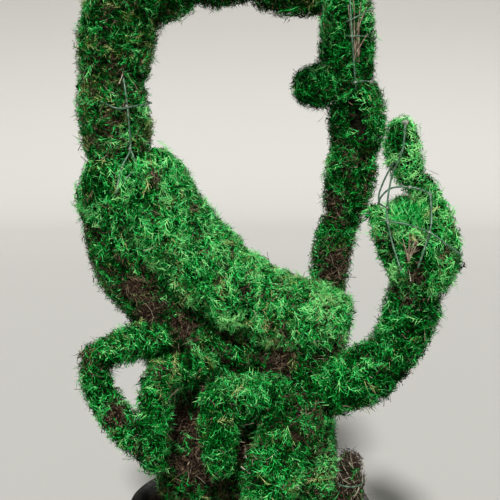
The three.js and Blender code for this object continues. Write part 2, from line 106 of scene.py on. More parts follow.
def drift(places: np.ndarray, size: float, seed: int) -> np.ndarray:
    """A smooth random field.

    Args:
        places: rows of x, y, z in millimetres.
        size: about how far apart its bumps are, in millimetres.
        seed: which field.

    Returns:
        One value per row, from -1 to 1.
    """
    cell = places / size
    low = np.floor(cell).astype(np.int64)
    share = cell - low
    share = share * share * (3 - 2 * share)
    total = np.zeros(len(places))
    for corner in itertools.product((0, 1), repeat=3):
        key = (low + corner) @ CELL_KEYS + seed * FIELD_KEY
        key = ((key ^ (key >> 13)) * MIX_KEY) & WORD
        value = ((key ^ (key >> 16)) & HALF_WORD) / (HALF_WORD / 2) - 1
        total += value * np.prod(np.where(corner, share, 1 - share), axis=1)
    return total


# The limbs


class Region(Enum):
    """A stretch of the scorpion whose foliage is made in one go."""

    TAIL = "tail"
    BACK = "back"
    BELLY = "belly"
    HEAD = "head"
    NEAR_ARM = "near_arm"
    NEAR_CLAW = "near_claw"
    FAR_ARM = "far_arm"
    FAR_CLAW = "far_claw"
    NEAR_LEGS = "near_legs"
    FAR_LEGS = "far_legs"
    FEET = "feet"
    KNOB = "knob"


@dataclass
class Limb:
    """A clipped mass that runs from one place to another, as its solid does.

    Its girth is the radius at the start, the middle and the end. The middle line passes through the place
    that lies bow away from halfway, and broad is how much wider than high the mass is.
    """

    name: str
    start: Place
    end: Place
    girth: Place
    region: Region
    bow: Place = (0, 0, 0)
    broad: float = 1.0
    tone: float = 0.0
    dead: float = 0.04
    yellow: float = 0

    BLUNT = 0.32
    LUMPS = ((0.045, 2, 3, 5), (0.027, 3, 0, 9))  # size, turns round, twist, waves along
    THINNEST = 4  # the least radius, in millimetres
    CAP_POWER = 8  # the higher, the later the ends turn to face along the limb
    STATIONS = (0.04, 0.96, 12)  # first share, last share and number of places that depth() tries
    LAST_POLE = 0.9995  # how near the ends spread() goes

    def __post_init__(self) -> None:
        """Works out the phases of the limb's lumps from its name."""
        draw = seeded(self.name)
        self.phases = [draw() * 2 * math.pi for _ in range(4)]
        self.knots = np.array([self.start, self.end, self.bow], float)

    def spine(self, t: np.ndarray) -> np.ndarray:
        """The limb's middle line.

        Args:
            t: shares of the way from its start to its end.

        Returns:
            The place at each share.
        """
        start, end, bow = self.knots
        pull = (start + end) / 2 + 2 * bow
        t = np.asarray(t, float)[..., None]
        return start * (1 - t) ** 2 + 2 * pull * t * (1 - t) + end * t**2

    def tangent(self, t: np.ndarray) -> np.ndarray:
        """The way that the middle line runs.

        Args:
            t: shares of the way from its start to its end.

        Returns:
            The unit direction at each share.
        """
        start, end, bow = self.knots
        pull = (start + end) / 2 + 2 * bow
        t = np.asarray(t, float)[..., None]
        return unit(2 * (1 - t) * (pull - start) + 2 * t * (end - pull))

    def axes(self, t: np.ndarray) -> tuple[np.ndarray, np.ndarray, np.ndarray]:
        """The limb's own axes.

        Args:
            t: shares of the way from its start to its end.

        Returns:
            The directions along the limb, up from it and to its side.
        """
        along = self.tangent(t)
        side = unit(ACROSS - along * (along @ ACROSS)[..., None])
        return along, np.cross(along, side), side

    def radius(self, pole: np.ndarray, turn: np.ndarray, inset: float) -> np.ndarray:
        """How far the skin is from the middle line.

        Args:
            pole: from -1 at the start to 1 at the end.
            turn: radians round from the top.
            inset: how far under the clipped outline.

        Returns:
            Distances in millimetres.
        """
        t = (1 + pole) / 2
        first, middle, last = self.girth
        girth = first * (1 - t) * (1 - 2 * t) + 4 * middle * t * (1 - t) + last * t * (2 * t - 1)
        uneven = np.ones_like(t)
        for i, (size, turns, twist, waves) in enumerate(self.LUMPS):
            around = np.sin(turns * turn + self.phases[2 * i] + twist * t)
            uneven = uneven + size * around * np.sin(waves * t + self.phases[2 * i + 1])
        roundness = np.maximum(1 - pole * pole, 0) ** (self.BLUNT / 2)
        return np.maximum(girth * uneven - inset, self.THINNEST) * roundness

    def skin(
        self, pole: np.ndarray, turn: np.ndarray, inset: float = 0
    ) -> tuple[np.ndarray, np.ndarray, np.ndarray]:
        """Places on the limb's surface.

        Args:
            pole: from -1 at the start to 1 at the end.
            turn: radians round from the top.
            inset: how far under the clipped outline.

        Returns:
            The places, the directions along the limb, and the directions out of the surface.
        """
        t = (1 + pole) / 2
        along, up, side = self.axes(t)
        radius = self.radius(pole, turn, inset)
        out = up * (radius * np.cos(turn))[..., None]
        out = out + side * (self.broad * radius * np.sin(turn))[..., None]
        place = self.spine(t) + out - along * (pole * inset * np.abs(pole))[..., None]
        ending = (np.abs(pole) ** self.CAP_POWER)[..., None]
        outward = unit(unit(out) * (1 - ending) + along * (np.sign(pole)[..., None] * ending))
        return place, along, outward

    def depth(self, places: np.ndarray) -> np.ndarray:
        """How deep places lie under the clipped outline.

        Args:
            places: rows of x, y, z.

        Returns:
            One depth per row; below 0 the place is outside.
        """
        stations = np.linspace(*self.STATIONS)
        gaps = np.linalg.norm(places[:, None] - self.spine(stations)[None], axis=2)
        t = stations[gaps.argmin(axis=1)]
        length = np.linalg.norm(self.knots[1] - self.knots[0])
        for _ in range(2):
            step = ((places - self.spine(t)) * self.tangent(t)).sum(axis=1) / length
            t = np.clip(t + step, 0, 1)
        _, up, side = self.axes(t)
        off = places - self.spine(t)
        high, wide = (off * up).sum(axis=1), (off * side).sum(axis=1) / self.broad
        return self.radius(2 * t - 1, np.arctan2(wide, high), 0) - np.hypot(high, wide)

    def cells(self, rows: int = 44, columns: int = 30) -> tuple[np.ndarray, np.ndarray, np.ndarray]:
        """The surface cut into small cells.

        Args:
            rows: how many there are from the start to the end.
            columns: how many there are round it.

        Returns:
            The angles that bound the rows, those that bound the columns, and each cell's area.
        """
        rise = np.linspace(-math.pi / 2, math.pi / 2, rows + 1)
        turn = np.linspace(0, 2 * math.pi, columns + 1)
        grid_rise, grid_turn = np.meshgrid(rise, turn, indexing="ij")
        place, _, _ = self.skin(np.sin(grid_rise), grid_turn)
        one, other = place[1:, 1:] - place[:-1, :-1], place[1:, :-1] - place[:-1, 1:]
        return rise, turn, np.linalg.norm(np.cross(one, other), axis=2) / 2

    def spread(self, density: float, draw: np.random.Generator) -> tuple[np.ndarray, np.ndarray]:
        """Even but irregular places over the surface.

        Args:
            density: how many there are to a square metre.
            draw: the generator to use.

        Returns:
            Each place's pole and turn, for skin().
        """
        rise, turn, area = self.cells()
        total = area.sum()
        count = int(total * 1e-6 * density)
        marks = (np.arange(count) + draw.random(count)) / count * total
        row, column = np.divmod(np.searchsorted(np.cumsum(area.ravel()), marks), area.shape[1])
        row = np.clip(row, 0, area.shape[0] - 1)
        pole = np.sin(rise[row] + (rise[1] - rise[0]) * draw.random(count))
        around = turn[column] + (turn[1] - turn[0]) * draw.random(count)
        return np.clip(pole, -self.LAST_POLE, self.LAST_POLE), around


# The body: plates strung along a bowed line from the tail down to the head
BACK_REAR = (-347, 0, 1413)
BACK_FRONT = (99, 0, 1005)
BACK_BOW = (-42, 0, -30)
PLATES = 5
PLATE_REACH = 148
PLATE_THICK = (166, 160, 150)
PLATE_BROAD = (1.32, 1.42, 1.36)
PLATE_ENDS = (0.9, 0.82)

# name: start, end, girth at the start, middle and end, bow, breadth over girth
LIMBS: dict[str, tuple] = {
    "rump": ((-465, 0, 1560), (-441, 0, 1285), (122, 154, 150), (0, 0, 0), 1.15),
    "belly_rear": ((-490, 0, 1405), (-302, 0, 990), (112, 128, 120), (-36, 0, -4), 1.2),
    "belly_middle": ((-385, 0, 1080), (-60, 0, 865), (112, 126, 112), (-5, 0, -20), 1.25),
    "belly_front": ((-145, 0, 900), (175, 0, 820), (106, 104, 90), (0, 0, -8), 1.35),
    "head": ((50, -10, 1012), (352, -42, 955), (134, 149, 138), (0, 0, 0), 1.22),
    "jaw": ((55, -40, 860), (300, -78, 825), (86, 96, 80), (0, 0, 0), 1.3),
    "tail_1": ((-453, 0, 1480), (-486, 0, 1905), (110, 134, 117), (0, 0, 0), 1.0),
    "tail_2": ((-476, 0, 1785), (-432, 0, 2165), (117, 141, 110), (0, 0, 0), 1.0),
    "tail_3": ((-478, 0, 2096), (-190, 0, 2178), (112, 146, 113), (0, 0, 0), 1.0),
    "tail_4": ((-268, 0, 2172), (66, 0, 2186), (112, 122, 110), (0, 0, 8), 1.0),
    "sting": ((-5, 0, 2188), (240, -4, 2040), (104, 114, 20), (24, 0, 22), 1.0),
    "near_arm_lower": ((165, -150, 738), (486, -238, 914), (96, 108, 98), (12, 0, -14), 1.0),
    "near_arm_upper": ((436, -232, 856), (549, -260, 1195), (98, 96, 96), (22, -2, -10), 1.0),
    "near_claw_palm": ((548, -260, 1118), (572, -260, 1345), (92, 128, 126), (0, 0, 0), 1.0),
    "near_claw_side": ((646, -250, 1180), (531, -248, 1520), (62, 63, 46), (21, 0, 0), 1.0),
    "near_claw_tip": ((562, -248, 1445), (497, -240, 1690), (44, 67, 52), (-34, 0, 0), 1.0),
    "near_claw_back": ((515, -160, 1200), (520, -168, 1436), (88, 92, 64), (0, 0, 0), 0.55),
    "near_claw_thumb": ((480, -262, 1200), (404, -252, 1420), (46, 44, 28), (-8, 0, 0), 1.0),
    "far_arm_lower": ((288, 98, 985), (343, 212, 1345), (60, 82, 85), (-16, 6, 0), 1.0),
    "far_arm_upper": ((343, 208, 1270), (392, 220, 1640), (72, 99, 98), (2, 0, 0), 1.0),
    "far_claw_palm": ((394, 220, 1540), (393, 220, 1835), (97, 111, 99), (2, 0, 0), 1.0),
    "far_claw_finger": ((370, 218, 1745), (372, 220, 2310), (102, 106, 34), (-18, 0, 0), 1.0),
    "far_claw_thumb": ((358, 208, 1820), (160, 196, 1806), (88, 92, 69), (0, 0, 0), 1.0),
    "foot_middle": ((-10, 0, 296), (-30, -20, 850), (200, 196, 150), (0, 0, 0), 1.02),
    "foot_left": ((-215, -30, 296), (-212, -60, 740), (130, 120, 84), (0, 0, 0), 1.0),
    "foot_right": ((208, -30, 296), (190, -50, 760), (124, 118, 84), (0, 0, 0), 1.0),
    "foot_back": ((-10, 215, 296), (-40, 170, 720), (190, 180, 120), (0, 0, 0), 0.66),
    "foot_front": ((230, -195, 310), (226, -196, 660), (68, 70, 60), (0, 0, 0), 1.0),
    "bare_twig_knob": ((338, -140, 260), (350, -150, 545), (50, 58, 40), (0, 0, 0), 1.0),
}

# The near legs from the tail end to the head end, each a thigh and a shin
LEGS: tuple[dict[str, tuple], ...] = (
    {
        "thigh": ((-218, -136, 914), (-534, -282, 892), (62, 67, 65), (0, 0, 45)),
        "shin": ((-502, -276, 948), (-302, -246, 560), (55, 65, 66), (-75, -6, 2)),
    },
    {
        "thigh": ((-108, -128, 852), (-332, -276, 834), (60, 62, 58), (0, 0, 14)),
        "shin": ((-302, -264, 866), (-314, -262, 516), (58, 63, 54), (-14, -6, 0)),
    },
    {
        "thigh": ((135, -140, 738), (-148, -292, 746), (80, 90, 78), (0, 0, 16)),
        "shin": ((-98, -290, 812), (-92, -282, 520), (72, 70, 54), (-10, -6, 0)),
    },
    {
        "thigh": ((246, -145, 712), (66, -304, 640), (84, 102, 92), (8, 0, 8)),
        "shin": ((112, -292, 700), (44, -288, 345), (92, 98, 88), (0, -8, 0)),
    },
)
FAR_SQUEEZE = 0.8
FAR_SHIFT = 55

REGIONS: dict[str, Region] = {
    "back_plate": Region.BACK,
    "rump": Region.BACK,
    "belly": Region.BELLY,
    "jaw": Region.BELLY,
    "head": Region.HEAD,
    "tail": Region.TAIL,
    "sting": Region.TAIL,
    "near_arm": Region.NEAR_ARM,
    "near_claw": Region.NEAR_CLAW,
    "far_arm": Region.FAR_ARM,
    "far_claw": Region.FAR_CLAW,
    "near_leg": Region.NEAR_LEGS,
    "far_leg": Region.FAR_LEGS,
    "foot": Region.FEET,
    "bare_twig_knob": Region.KNOB,
}

# How light each region's leaves are painted, and what shares of its sprays are dead and yellowed. The
# lightness is painted light and painted shade: the belly, the arms and the far claw are painted darker where
# shade falls, the head and the near claw lighter where light falls
MOODS: dict[Region, tuple[float, float, float]] = {
    Region.TAIL: (-0.02, 0.13, 0.26),
    Region.BACK: (0.16, 0.04, 0.06),
    Region.BELLY: (-0.45, 0.3, 0.1),
    Region.HEAD: (0.34, 0.08, 0.1),
    Region.NEAR_ARM: (-0.55, 0.04, 0.03),
    Region.NEAR_CLAW: (0.66, 0.015, 0),
    Region.FAR_ARM: (-0.6, 0.2, 0.05),
    Region.FAR_CLAW: (-0.62, 0.06, 0),
    Region.NEAR_LEGS: (-0.26, 0.05, 0.05),
    Region.FAR_LEGS: (-0.1, 0.08, 0.05),
    Region.FEET: (-0.2, 0.3, 0.12),
    Region.KNOB: (-0.5, 0.5, 0),
}
# The regions whose green sprays take the record's bright or deep foliage slot, not its middle one
BRIGHT_REGIONS = (Region.HEAD, Region.NEAR_CLAW)
DEEP_REGIONS = (Region.BELLY, Region.FAR_ARM, Region.FAR_CLAW, Region.FAR_LEGS)


def region_of(name: str) -> Region:
    """The region that a limb belongs to, by the start of its name."""
    return next(region for start, region in REGIONS.items() if name.startswith(start))


def mirrored(place: Place) -> Place:
    """A near leg's place carried over to the far side."""
    x, y, z = place
    return (x * FAR_SQUEEZE + FAR_SHIFT, -y, z)


def all_limbs() -> dict[str, Limb]:
    """Works out every limb from the same sizes as the solids.

    Returns:
        The limbs by their names.
    """
    shapes: dict[str, tuple] = {}
    rear, front, bow = (np.array(v, float) for v in (BACK_REAR, BACK_FRONT, BACK_BOW))
    pull = (rear + front) / 2 + 2 * bow
    for i in range(PLATES):
        t = i / (PLATES - 1)
        centre = rear * (1 - t) ** 2 + 2 * pull * t * (1 - t) + front * t**2
        along = unit(2 * (1 - t) * (pull - rear) + 2 * t * (front - pull))
        weights = ((1 - t) * (1 - 2 * t), 4 * t * (1 - t), t * (2 * t - 1))
        thick = sum(w * size for w, size in zip(weights, PLATE_THICK))
        shapes[f"back_plate_{i + 1}"] = (
            tuple(centre - PLATE_REACH * along),
            tuple(centre + PLATE_REACH * along),
            (PLATE_ENDS[0] * thick, thick, PLATE_ENDS[1] * thick),
            (0, 0, 0),
            sum(w * size for w, size in zip(weights, PLATE_BROAD)),
        )
    shapes.update(LIMBS)
    for i, leg in enumerate(LEGS):
        for part, (start, end, girth, pull_off) in leg.items():
            shapes[f"near_leg_{i + 1}_{part}"] = (start, end, girth, pull_off, 1.0)
            turned = (pull_off[0], -pull_off[1], pull_off[2])
            shapes[f"far_leg_{i + 1}_{part}"] = (mirrored(start), mirrored(end), girth, turned, 1.0)
    limbs = {}
    for name, (start, end, girth, bent, broad) in shapes.items():
        region = region_of(name)
        limbs[name] = Limb(name, start, end, girth, region, bent, broad, *MOODS[region])
    return limbs


# Where foliage has died back: centre, radius and strength
DEAD_PATCHES: tuple[tuple[Place, float, float], ...] = (
    ((-340, -21, 1989), 40, 0.8),
    ((-435, -91, 1851), 60, 0.5),
    ((-440, -117, 1719), 110, 0.28),
    ((-468, -124, 1620), 85, 0.3),
    ((-311, -206, 1498), 28, 0.9),
    ((-179, -121, 1398), 34, 0.9),
    ((-290, -209, 1327), 28, 0.8),
    ((-68, -138, 1230), 30, 0.8),
    ((-17, -200, 1128), 36, 0.8),
    ((86, -111, 1126), 38, 0.7),
    ((126, -137, 1085), 40, 0.8),
    ((21, -135, 963), 32, 0.8),
    ((106, -143, 867), 75, 0.8),
    ((-400, -150, 1115), 60, 0.9),
    ((-353, -128, 1042), 60, 0.9),
    ((-233, -141, 968), 78, 0.9),
    ((-434, -316, 731), 56, 0.95),
    ((-549, -289, 908), 42, 0.7),
    ((-288, -289, 871), 38, 0.8),
    ((-244, -125, 633), 130, 0.9),
    ((312, 145, 1378), 64, 0.6),
    ((311, 102, 1162), 100, 0.75),
    ((520, -375, 1204), 46, 0.95),
    ((615, -374, 1273), 38, 0.7),
    ((498, -313, 1129), 44, 0.6),
    ((68, -171, 968), 62, 0.45),
    ((279, -160, 920), 52, 0.6),
    ((183, -314, 707), 95, 0.5),
    ((-185, -140, 493), 120, 0.85),
    ((-41, -188, 565), 66, 0.9),
    ((-60, 250, 560), 120, 0.7),
    ((-150, 190, 1180), 60, 0.8),
    ((-20, 180, 1010), 55, 0.8),
    ((-430, 120, 1700), 70, 0.6),
)
# Painted light and painted shade: where the foliage is painted lighter or, with a strength below 0, darker,
# for how light falls on it: centre, radius and strength
PAINTED_LIGHT_AND_SHADE_PATCHES: tuple[tuple[Place, float, float], ...] = (
    ((255, -165, 1070), 90, 0.75),
    ((263, -245, 516), 90, 1.5),
    ((150, -350, 480), 85, 1.2),
    ((5, -360, 530), 60, -1.5),
    ((-296, -195, 1490), 100, 0.5),
    ((-369, -156, 1287), 95, 0.3),
    ((-88, -56, 956), 85, 0.35),
    ((536, -317, 1498), 80, 0.4),
    ((530, -210, 1375), 130, 2.2),
    ((414, 137, 1759), 85, 1.4),
    ((428, 150, 2076), 60, 1.1),
    ((469, -316, 949), 80, 0.25),
    ((-61, -313, 810), 75, -0.55),
    ((-124, -350, 680), 75, -1.0),
    ((105, -335, 715), 105, -1.6),
    ((-393, -276, 939), 75, 0.3),
    ((200, 150, 1080), 110, 0.5),
    ((-300, 190, 1450), 110, 0.4),
    ((-410, -130, 1650), 75, 0.55),
    ((-450, -135, 1975), 105, -1.5),
    ((-350, -99, 1990), 55, -1.5),
    ((235, -30, 2050), 60, -1.2),
    ((-530, -150, 1455), 95, -1.4),
    ((-310, -70, 2080), 140, -1.1),
    ((-110, -60, 2090), 150, -1.3),
    ((90, -50, 2090), 140, -1.2),
    ((-575, -70, 1860), 80, -0.7),
    ((-545, -60, 1440), 85, -0.8),
    ((-485, -100, 1290), 78, -0.9),
    ((-440, -125, 1205), 78, -0.9),
    ((-395, -150, 1140), 62, -0.6),
    ((-415, -145, 1252), 48, 1.5),
    ((-333, -160, 1197), 48, 1.5),
    ((-258, -162, 1118), 50, 1.5),
    ((-201, -173, 1072), 60, 1.8),
    ((-62, -198, 1007), 60, 1.7),
    ((61, -169, 930), 50, 1.5),
    ((452, -290, 1620), 58, -1.9),
    ((490, -290, 1660), 40, -1.0),
    ((-232, -231, 915), 70, -1.4),
    ((339, -254, 925), 60, -1.1),
    ((-401, -267, 994), 40, -0.6),
    ((-507, -332, 825), 70, -0.45),
    ((513, -381, 1215), 60, -1.3),
    ((555, -392, 1234), 60, -1.3),
    ((540, -370, 1165), 60, -1.0),
    ((225, -205, 995), 60, -0.5),
    ((-262, -190, 985), 50, -1.0),
    ((140, -290, 790), 50, -1.4),
    ((35, -190, 1065), 90, 0.5),
)


RAGGED = 0.35  # how much a patch's edge wanders
RAGGED_SIZE = 26
EDGE = 1.6  # how steeply a patch's strength rises inward from its edge, up to its full strength


def patchiness(
    places: np.ndarray, patches: tuple[tuple[Place, float, float], ...], seed: int
) -> np.ndarray:
    """How strongly each place lies in one of the patches.

    Args:
        places: rows of x, y, z.
        patches: centre, radius and strength of each.
        seed: which field ragged edges come from.

    Returns:
        One value per row: that of the patch which counts most there, or 0.
    """
    ragged = 1 + RAGGED * drift(places, RAGGED_SIZE, seed)
    most = np.zeros(len(places))
    for centre, radius, strength in patches:
        gap = np.linalg.norm(places - np.array(centre, float), axis=1) / (radius * ragged)
        here = strength * np.clip(EDGE * (1 - gap), 0, 1)
        most = np.where(np.abs(here) > np.abs(most), here, most)
    return most


# Places where the clipped skin is broken open: centre and half sizes
HOLLOWS: dict[str, tuple[Place, Place]] = {
    "near_claw_palm": ((508, -362, 1296), (38, 58, 60)),
    "far_claw_palm": ((390, 118, 1690), (46, 62, 84)),
    "far_claw_finger": ((404, 128, 1962), (27, 46, 58)),
}


# Finishes


def linear(code: str) -> tuple[float, float, float, float]:
    """An sRGB colour in linear light.

    Args:
        code: its hex code.

    Returns:
        Linear red, green, blue and alpha.
    """
    shares = [int(code[i : i + 2], 16) / 255 for i in (1, 3, 5)]
    red, green, blue = (s / 12.92 if s <= 0.04045 else ((s + 0.055) / 1.055) ** 2.4 for s in shares)
    return (red, green, blue, 1.0)


def add_node(
    tree: bpy.types.NodeTree,
    kind: str,
    inputs: dict | None = None,
    **settings: object,
) -> bpy.types.Node:
    """Adds a node with its settings and links.

    Args:
        tree: the node tree.
        kind: the node's type name.
        inputs: socket name or number to a value, or to the output socket that feeds it.
        settings: the node's own properties.

    Returns:
        The node.
    """
    node = tree.nodes.new(kind)
    for name, value in settings.items():
        setattr(node, name, value)
    for key, value in (inputs or {}).items():
        if isinstance(value, bpy.types.NodeSocket):
            tree.links.new(value, node.inputs[key])
        else:
            node.inputs[key].default_value = value
    return node


@dataclass(frozen=True)
class Finish:
    """A plain finish, which the others build on."""

    name: str
    colour: str
    roughness: float
    specular: float = 0.5
    metallic: float = 0.0

    def material(self) -> bpy.types.Material:
        """The material, made once and then shared.

        Returns:
            The material.
        """
        made = bpy.data.materials.get(self.name)
        if made:
            return made
        made = bpy.data.materials.new(self.name)
        made.use_nodes = True
        tree = made.node_tree
        shader = tree.nodes["Principled BSDF"]
        shader.inputs["Base Color"].default_value = linear(self.colour)
        shader.inputs["Roughness"].default_value = self.roughness
        shader.inputs["Metallic"].default_value = self.metallic
        shader.inputs["Specular IOR Level"].default_value = self.specular
        self.pattern(tree, shader)
        made.diffuse_color = linear(self.colour)
        return made

    def pattern(self, tree: bpy.types.NodeTree, shader: bpy.types.Node) -> None:
        """Adds nothing: the finish is the same all over."""

    def tinted(
        self,
        tree: bpy.types.NodeTree,
        shader: bpy.types.Node,
        share: bpy.types.NodeSocket,
        stops: tuple[tuple[float, str], ...],
    ) -> None:
        """Colours the finish through stops.

        Args:
            tree: the material's nodes.
            shader: its surface shader.
            share: the output, from 0 to 1, that picks the colour.
            stops: position and sRGB colour of each.
        """
        ramp = add_node(tree, "ShaderNodeValToRGB", {0: share})
        while len(ramp.color_ramp.elements) < len(stops):
            ramp.color_ramp.elements.new(0.5)
        for element, (position, code) in zip(ramp.color_ramp.elements, stops):
            element.position = position
            element.color = linear(code)
        tree.links.new(ramp.outputs[0], shader.inputs["Base Color"])

    def roughened(
        self,
        tree: bpy.types.NodeTree,
        shader: bpy.types.Node,
        share: bpy.types.NodeSocket,
        span: tuple[float, float],
    ) -> None:
        """Spreads the roughness over a span.

        Args:
            tree: the material's nodes.
            shader: its surface shader.
            share: the output, from 0 to 1, that picks the roughness.
            span: the roughness at 0 and at 1.
        """
        spread = add_node(tree, "ShaderNodeMapRange", {0: share, 3: span[0], 4: span[1]})
        tree.links.new(spread.outputs[0], shader.inputs["Roughness"])

    def raised(
        self,
        tree: bpy.types.NodeTree,
        shader: bpy.types.Node,
        share: bpy.types.NodeSocket,
        height_mm: float,
        strength: float = 1.0,
    ) -> None:
        """Raises the surface in relief.

        Args:
            tree: the material's nodes.
            shader: its surface shader.
            share: the output, from 0 to 1, that gives the height.
            height_mm: the height at 1, in millimetres.
            strength: how much of it shows.
        """
        values = {"Strength": strength, "Distance": height_mm * MM, "Height": share}
        bump = add_node(tree, "ShaderNodeBump", values)
        tree.links.new(bump.outputs[0], shader.inputs["Normal"])


def grain(
    tree: bpy.types.NodeTree, size_mm: float, detail: float = 4, stretch: Place = (1, 1, 1)
) -> bpy.types.Node:
    """A noise pattern with grains of about a size, in millimetres.

    Args:
        tree: the node tree.
        size_mm: the distance between grains.
        detail: how many finer layers it has.
        stretch: how much longer the grains are along X, Y and Z.

    Returns:
        The noise node, whose first output is its value.
    """
    place = add_node(tree, "ShaderNodeTexCoord")
    scale = tuple(1 / s for s in stretch)
    mapping = add_node(tree, "ShaderNodeMapping", {0: place.outputs["Object"], 3: scale})
    values = {"Vector": mapping.outputs[0], "Scale": 1 / (size_mm * MM), "Detail": detail}
    return add_node(tree, "ShaderNodeTexNoise", values)


@dataclass(frozen=True)
class ShadedDeadHeart(Finish):
    """The matted inside of a clipped conifer: dead twigs and dust, dull all over, painted near-black as
    painted shade for the dark within the foliage.
    """

    def pattern(self, tree: bpy.types.NodeTree, shader: bpy.types.Node) -> None:
        """Streaks it with twigs 7 mm apart that lie every way, coarse enough to show.

        Args:
            tree: the material's nodes.
            shader: its surface shader.
        """
        mat = grain(tree, 7, 6)
        # Painted shade: the near-black stops stand for the shade inside the foliage, the brown one for its
        # dead twigs
        stops = ((0.32, "#060a06"), (0.55, "#1a1c12"), (0.75, "#3a2f24"))
        self.tinted(tree, shader, mat.outputs[0], stops)
        self.raised(tree, shader, mat.outputs[0], 6)


@dataclass(frozen=True)
class Bark(Finish):
    """Thin stringy conifer bark, grey on the ridges and red-brown between, weathered outdoors."""

    pale: str = "#8d8172"

    def pattern(self, tree: bpy.types.NodeTree, shader: bpy.types.Node) -> None:
        """Adds fibres 3 mm wide and ten times as long, and lichen-grey on their ridges.

        Args:
            tree: the material's nodes.
            shader: its surface shader.
        """
        fibre = grain(tree, 3, 5, (1, 1, 10))
        stops = ((0.3, "#2c2019"), (0.52, self.colour), (0.72, self.pale))
        self.tinted(tree, shader, fibre.outputs[0], stops)
        self.raised(tree, shader, fibre.outputs[0], 1.2)


@dataclass(frozen=True)
class CoatedSteel(Finish):
    """Steel rod dipped in dark green plastic: a soft gloss, dulled by dust and algae."""

    def pattern(self, tree: bpy.types.NodeTree, shader: bpy.types.Node) -> None:
        """Dulls it in patches 12 mm across and greys it with dust.

        Args:
            tree: the material's nodes.
            shader: its surface shader.
        """
        dust = grain(tree, 12, 5)
        stops = ((0.35, self.colour), (0.55, "#4d755a"), (0.75, "#8ba38c"))
        self.tinted(tree, shader, dust.outputs[0], stops)
        self.roughened(tree, shader, dust.outputs[0], (0.28, 0.62))
        shader.inputs["Coat Weight"].default_value = 0.2
        shader.inputs["Coat Roughness"].default_value = 0.25


@dataclass(frozen=True)
class BareWire(Finish):
    """Galvanised binding wire, twisted by hand and gone chalky outdoors."""

    def pattern(self, tree: bpy.types.NodeTree, shader: bpy.types.Node) -> None:
        """Clouds the zinc in spangles 4 mm across.

        Args:
            tree: the material's nodes.
            shader: its surface shader.
        """
        spangle = grain(tree, 4, 3)
        stops = ((0.35, "#8f9388"), (0.65, self.colour))
        self.tinted(tree, shader, spangle.outputs[0], stops)
        self.roughened(tree, shader, spangle.outputs[0], (0.35, 0.6))


@dataclass(frozen=True)
class FibreClay(Finish):
    """Moulded fibre-clay: sand-blasted to a dry, finely pitted face, with lime bloom and splashes."""

    streakiness: float = 1.9
    pit_share: float = 0.3  # of the colour that comes from the pits and not from clouds and streaks

    def pattern(self, tree: bpy.types.NodeTree, shader: bpy.types.Node) -> None:
        """Pits it 2.5 mm apart, clouds it over 90 mm, and runs pale streaks down it.

        Args:
            tree: the material's nodes.
            shader: its surface shader.
        """
        pits = grain(tree, 2.5, 6)
        cloud = grain(tree, 90, 4, (1, 1, 2.5))
        streak = grain(tree, 22, 4, (1, 1, 16))
        multiply = {"operation": "MULTIPLY"}
        mixed = add_node(tree, "ShaderNodeMath", {0: cloud.outputs[0], 1: streak.outputs[0]}, **multiply)
        lifted = add_node(tree, "ShaderNodeMath", {0: mixed.outputs[0], 1: self.streakiness}, **multiply)
        shares = {0: self.pit_share, 2: lifted.outputs[0], 3: pits.outputs[0]}
        fine = add_node(tree, "ShaderNodeMix", shares)
        stops = ((0.3, "#262625"), (0.5, self.colour), (0.68, "#5d5b56"), (0.85, "#8a877f"))
        self.tinted(tree, shader, fine.outputs[0], stops)
        self.roughened(tree, shader, pits.outputs[0], (0.7, 0.95))
        self.raised(tree, shader, pits.outputs[0], 0.9, 0.7)


@dataclass(frozen=True)
class PottingSoil(Finish):
    """Peaty potting soil: damp and dark in the hollows, grey and crumbly where it has dried."""

    damp_share: float = 0.35  # of the colour that comes from damp patches and not from crumbs

    def pattern(self, tree: bpy.types.NodeTree, shader: bpy.types.Node) -> None:
        """Crumbles it 6 mm apart, over damp patches 80 mm across.

        Args:
            tree: the material's nodes.
            shader: its surface shader.
        """
        crumb = grain(tree, 6, 7)
        damp = grain(tree, 80, 3)
        shares = {0: self.damp_share, 2: crumb.outputs[0], 3: damp.outputs[0]}
        both = add_node(tree, "ShaderNodeMix", shares)
        stops = ((0.36, "#120d09"), (0.5, self.colour), (0.62, "#4a3d31"), (0.72, "#7a6b58"))
        self.tinted(tree, shader, both.outputs[0], stops)
        self.raised(tree, shader, crumb.outputs[0], 7)


@dataclass(frozen=True)
class StudioFloor(Finish):
    """Plain pale studio paper, whose wall glows on the side that the sun doesn't reach."""

    glow: float = 0.62
    # In metres: how far from the middle the glow starts and is full, and where along Y it is none and full
    glow_reach: tuple[float, float] = (8, 14)
    glow_side: tuple[float, float] = (11, -5)

    def pattern(self, tree: bpy.types.NodeTree, shader: bpy.types.Node) -> None:
        """Leaves the paper's faint tooth, 3 mm apart, and lights the sheet where it curves up.

        Args:
            tree: the material's nodes.
            shader: its surface shader.
        """
        self.raised(tree, shader, grain(tree, 3, 2).outputs[0], 0.1, 0.3)
        place = add_node(tree, "ShaderNodeTexCoord").outputs["Object"]
        axes = add_node(tree, "ShaderNodeSeparateXYZ", {0: place})
        away = add_node(tree, "ShaderNodeVectorMath", {0: place}, operation="LENGTH").outputs["Value"]
        start, full = self.glow_reach
        rise = add_node(tree, "ShaderNodeMapRange", {0: away, 1: start, 2: full}).outputs[0]
        start, full = self.glow_side
        side = add_node(tree, "ShaderNodeMapRange", {0: axes.outputs[1], 1: start, 2: full}).outputs[0]
        share = add_node(tree, "ShaderNodeMath", {0: rise, 1: side}, operation="MULTIPLY").outputs[0]
        glow = add_node(tree, "ShaderNodeMath", {0: share, 1: self.glow}, operation="MULTIPLY")
        shader.inputs["Emission Color"].default_value = linear(self.colour)
        tree.links.new(glow.outputs[0], shader.inputs["Emission Strength"])
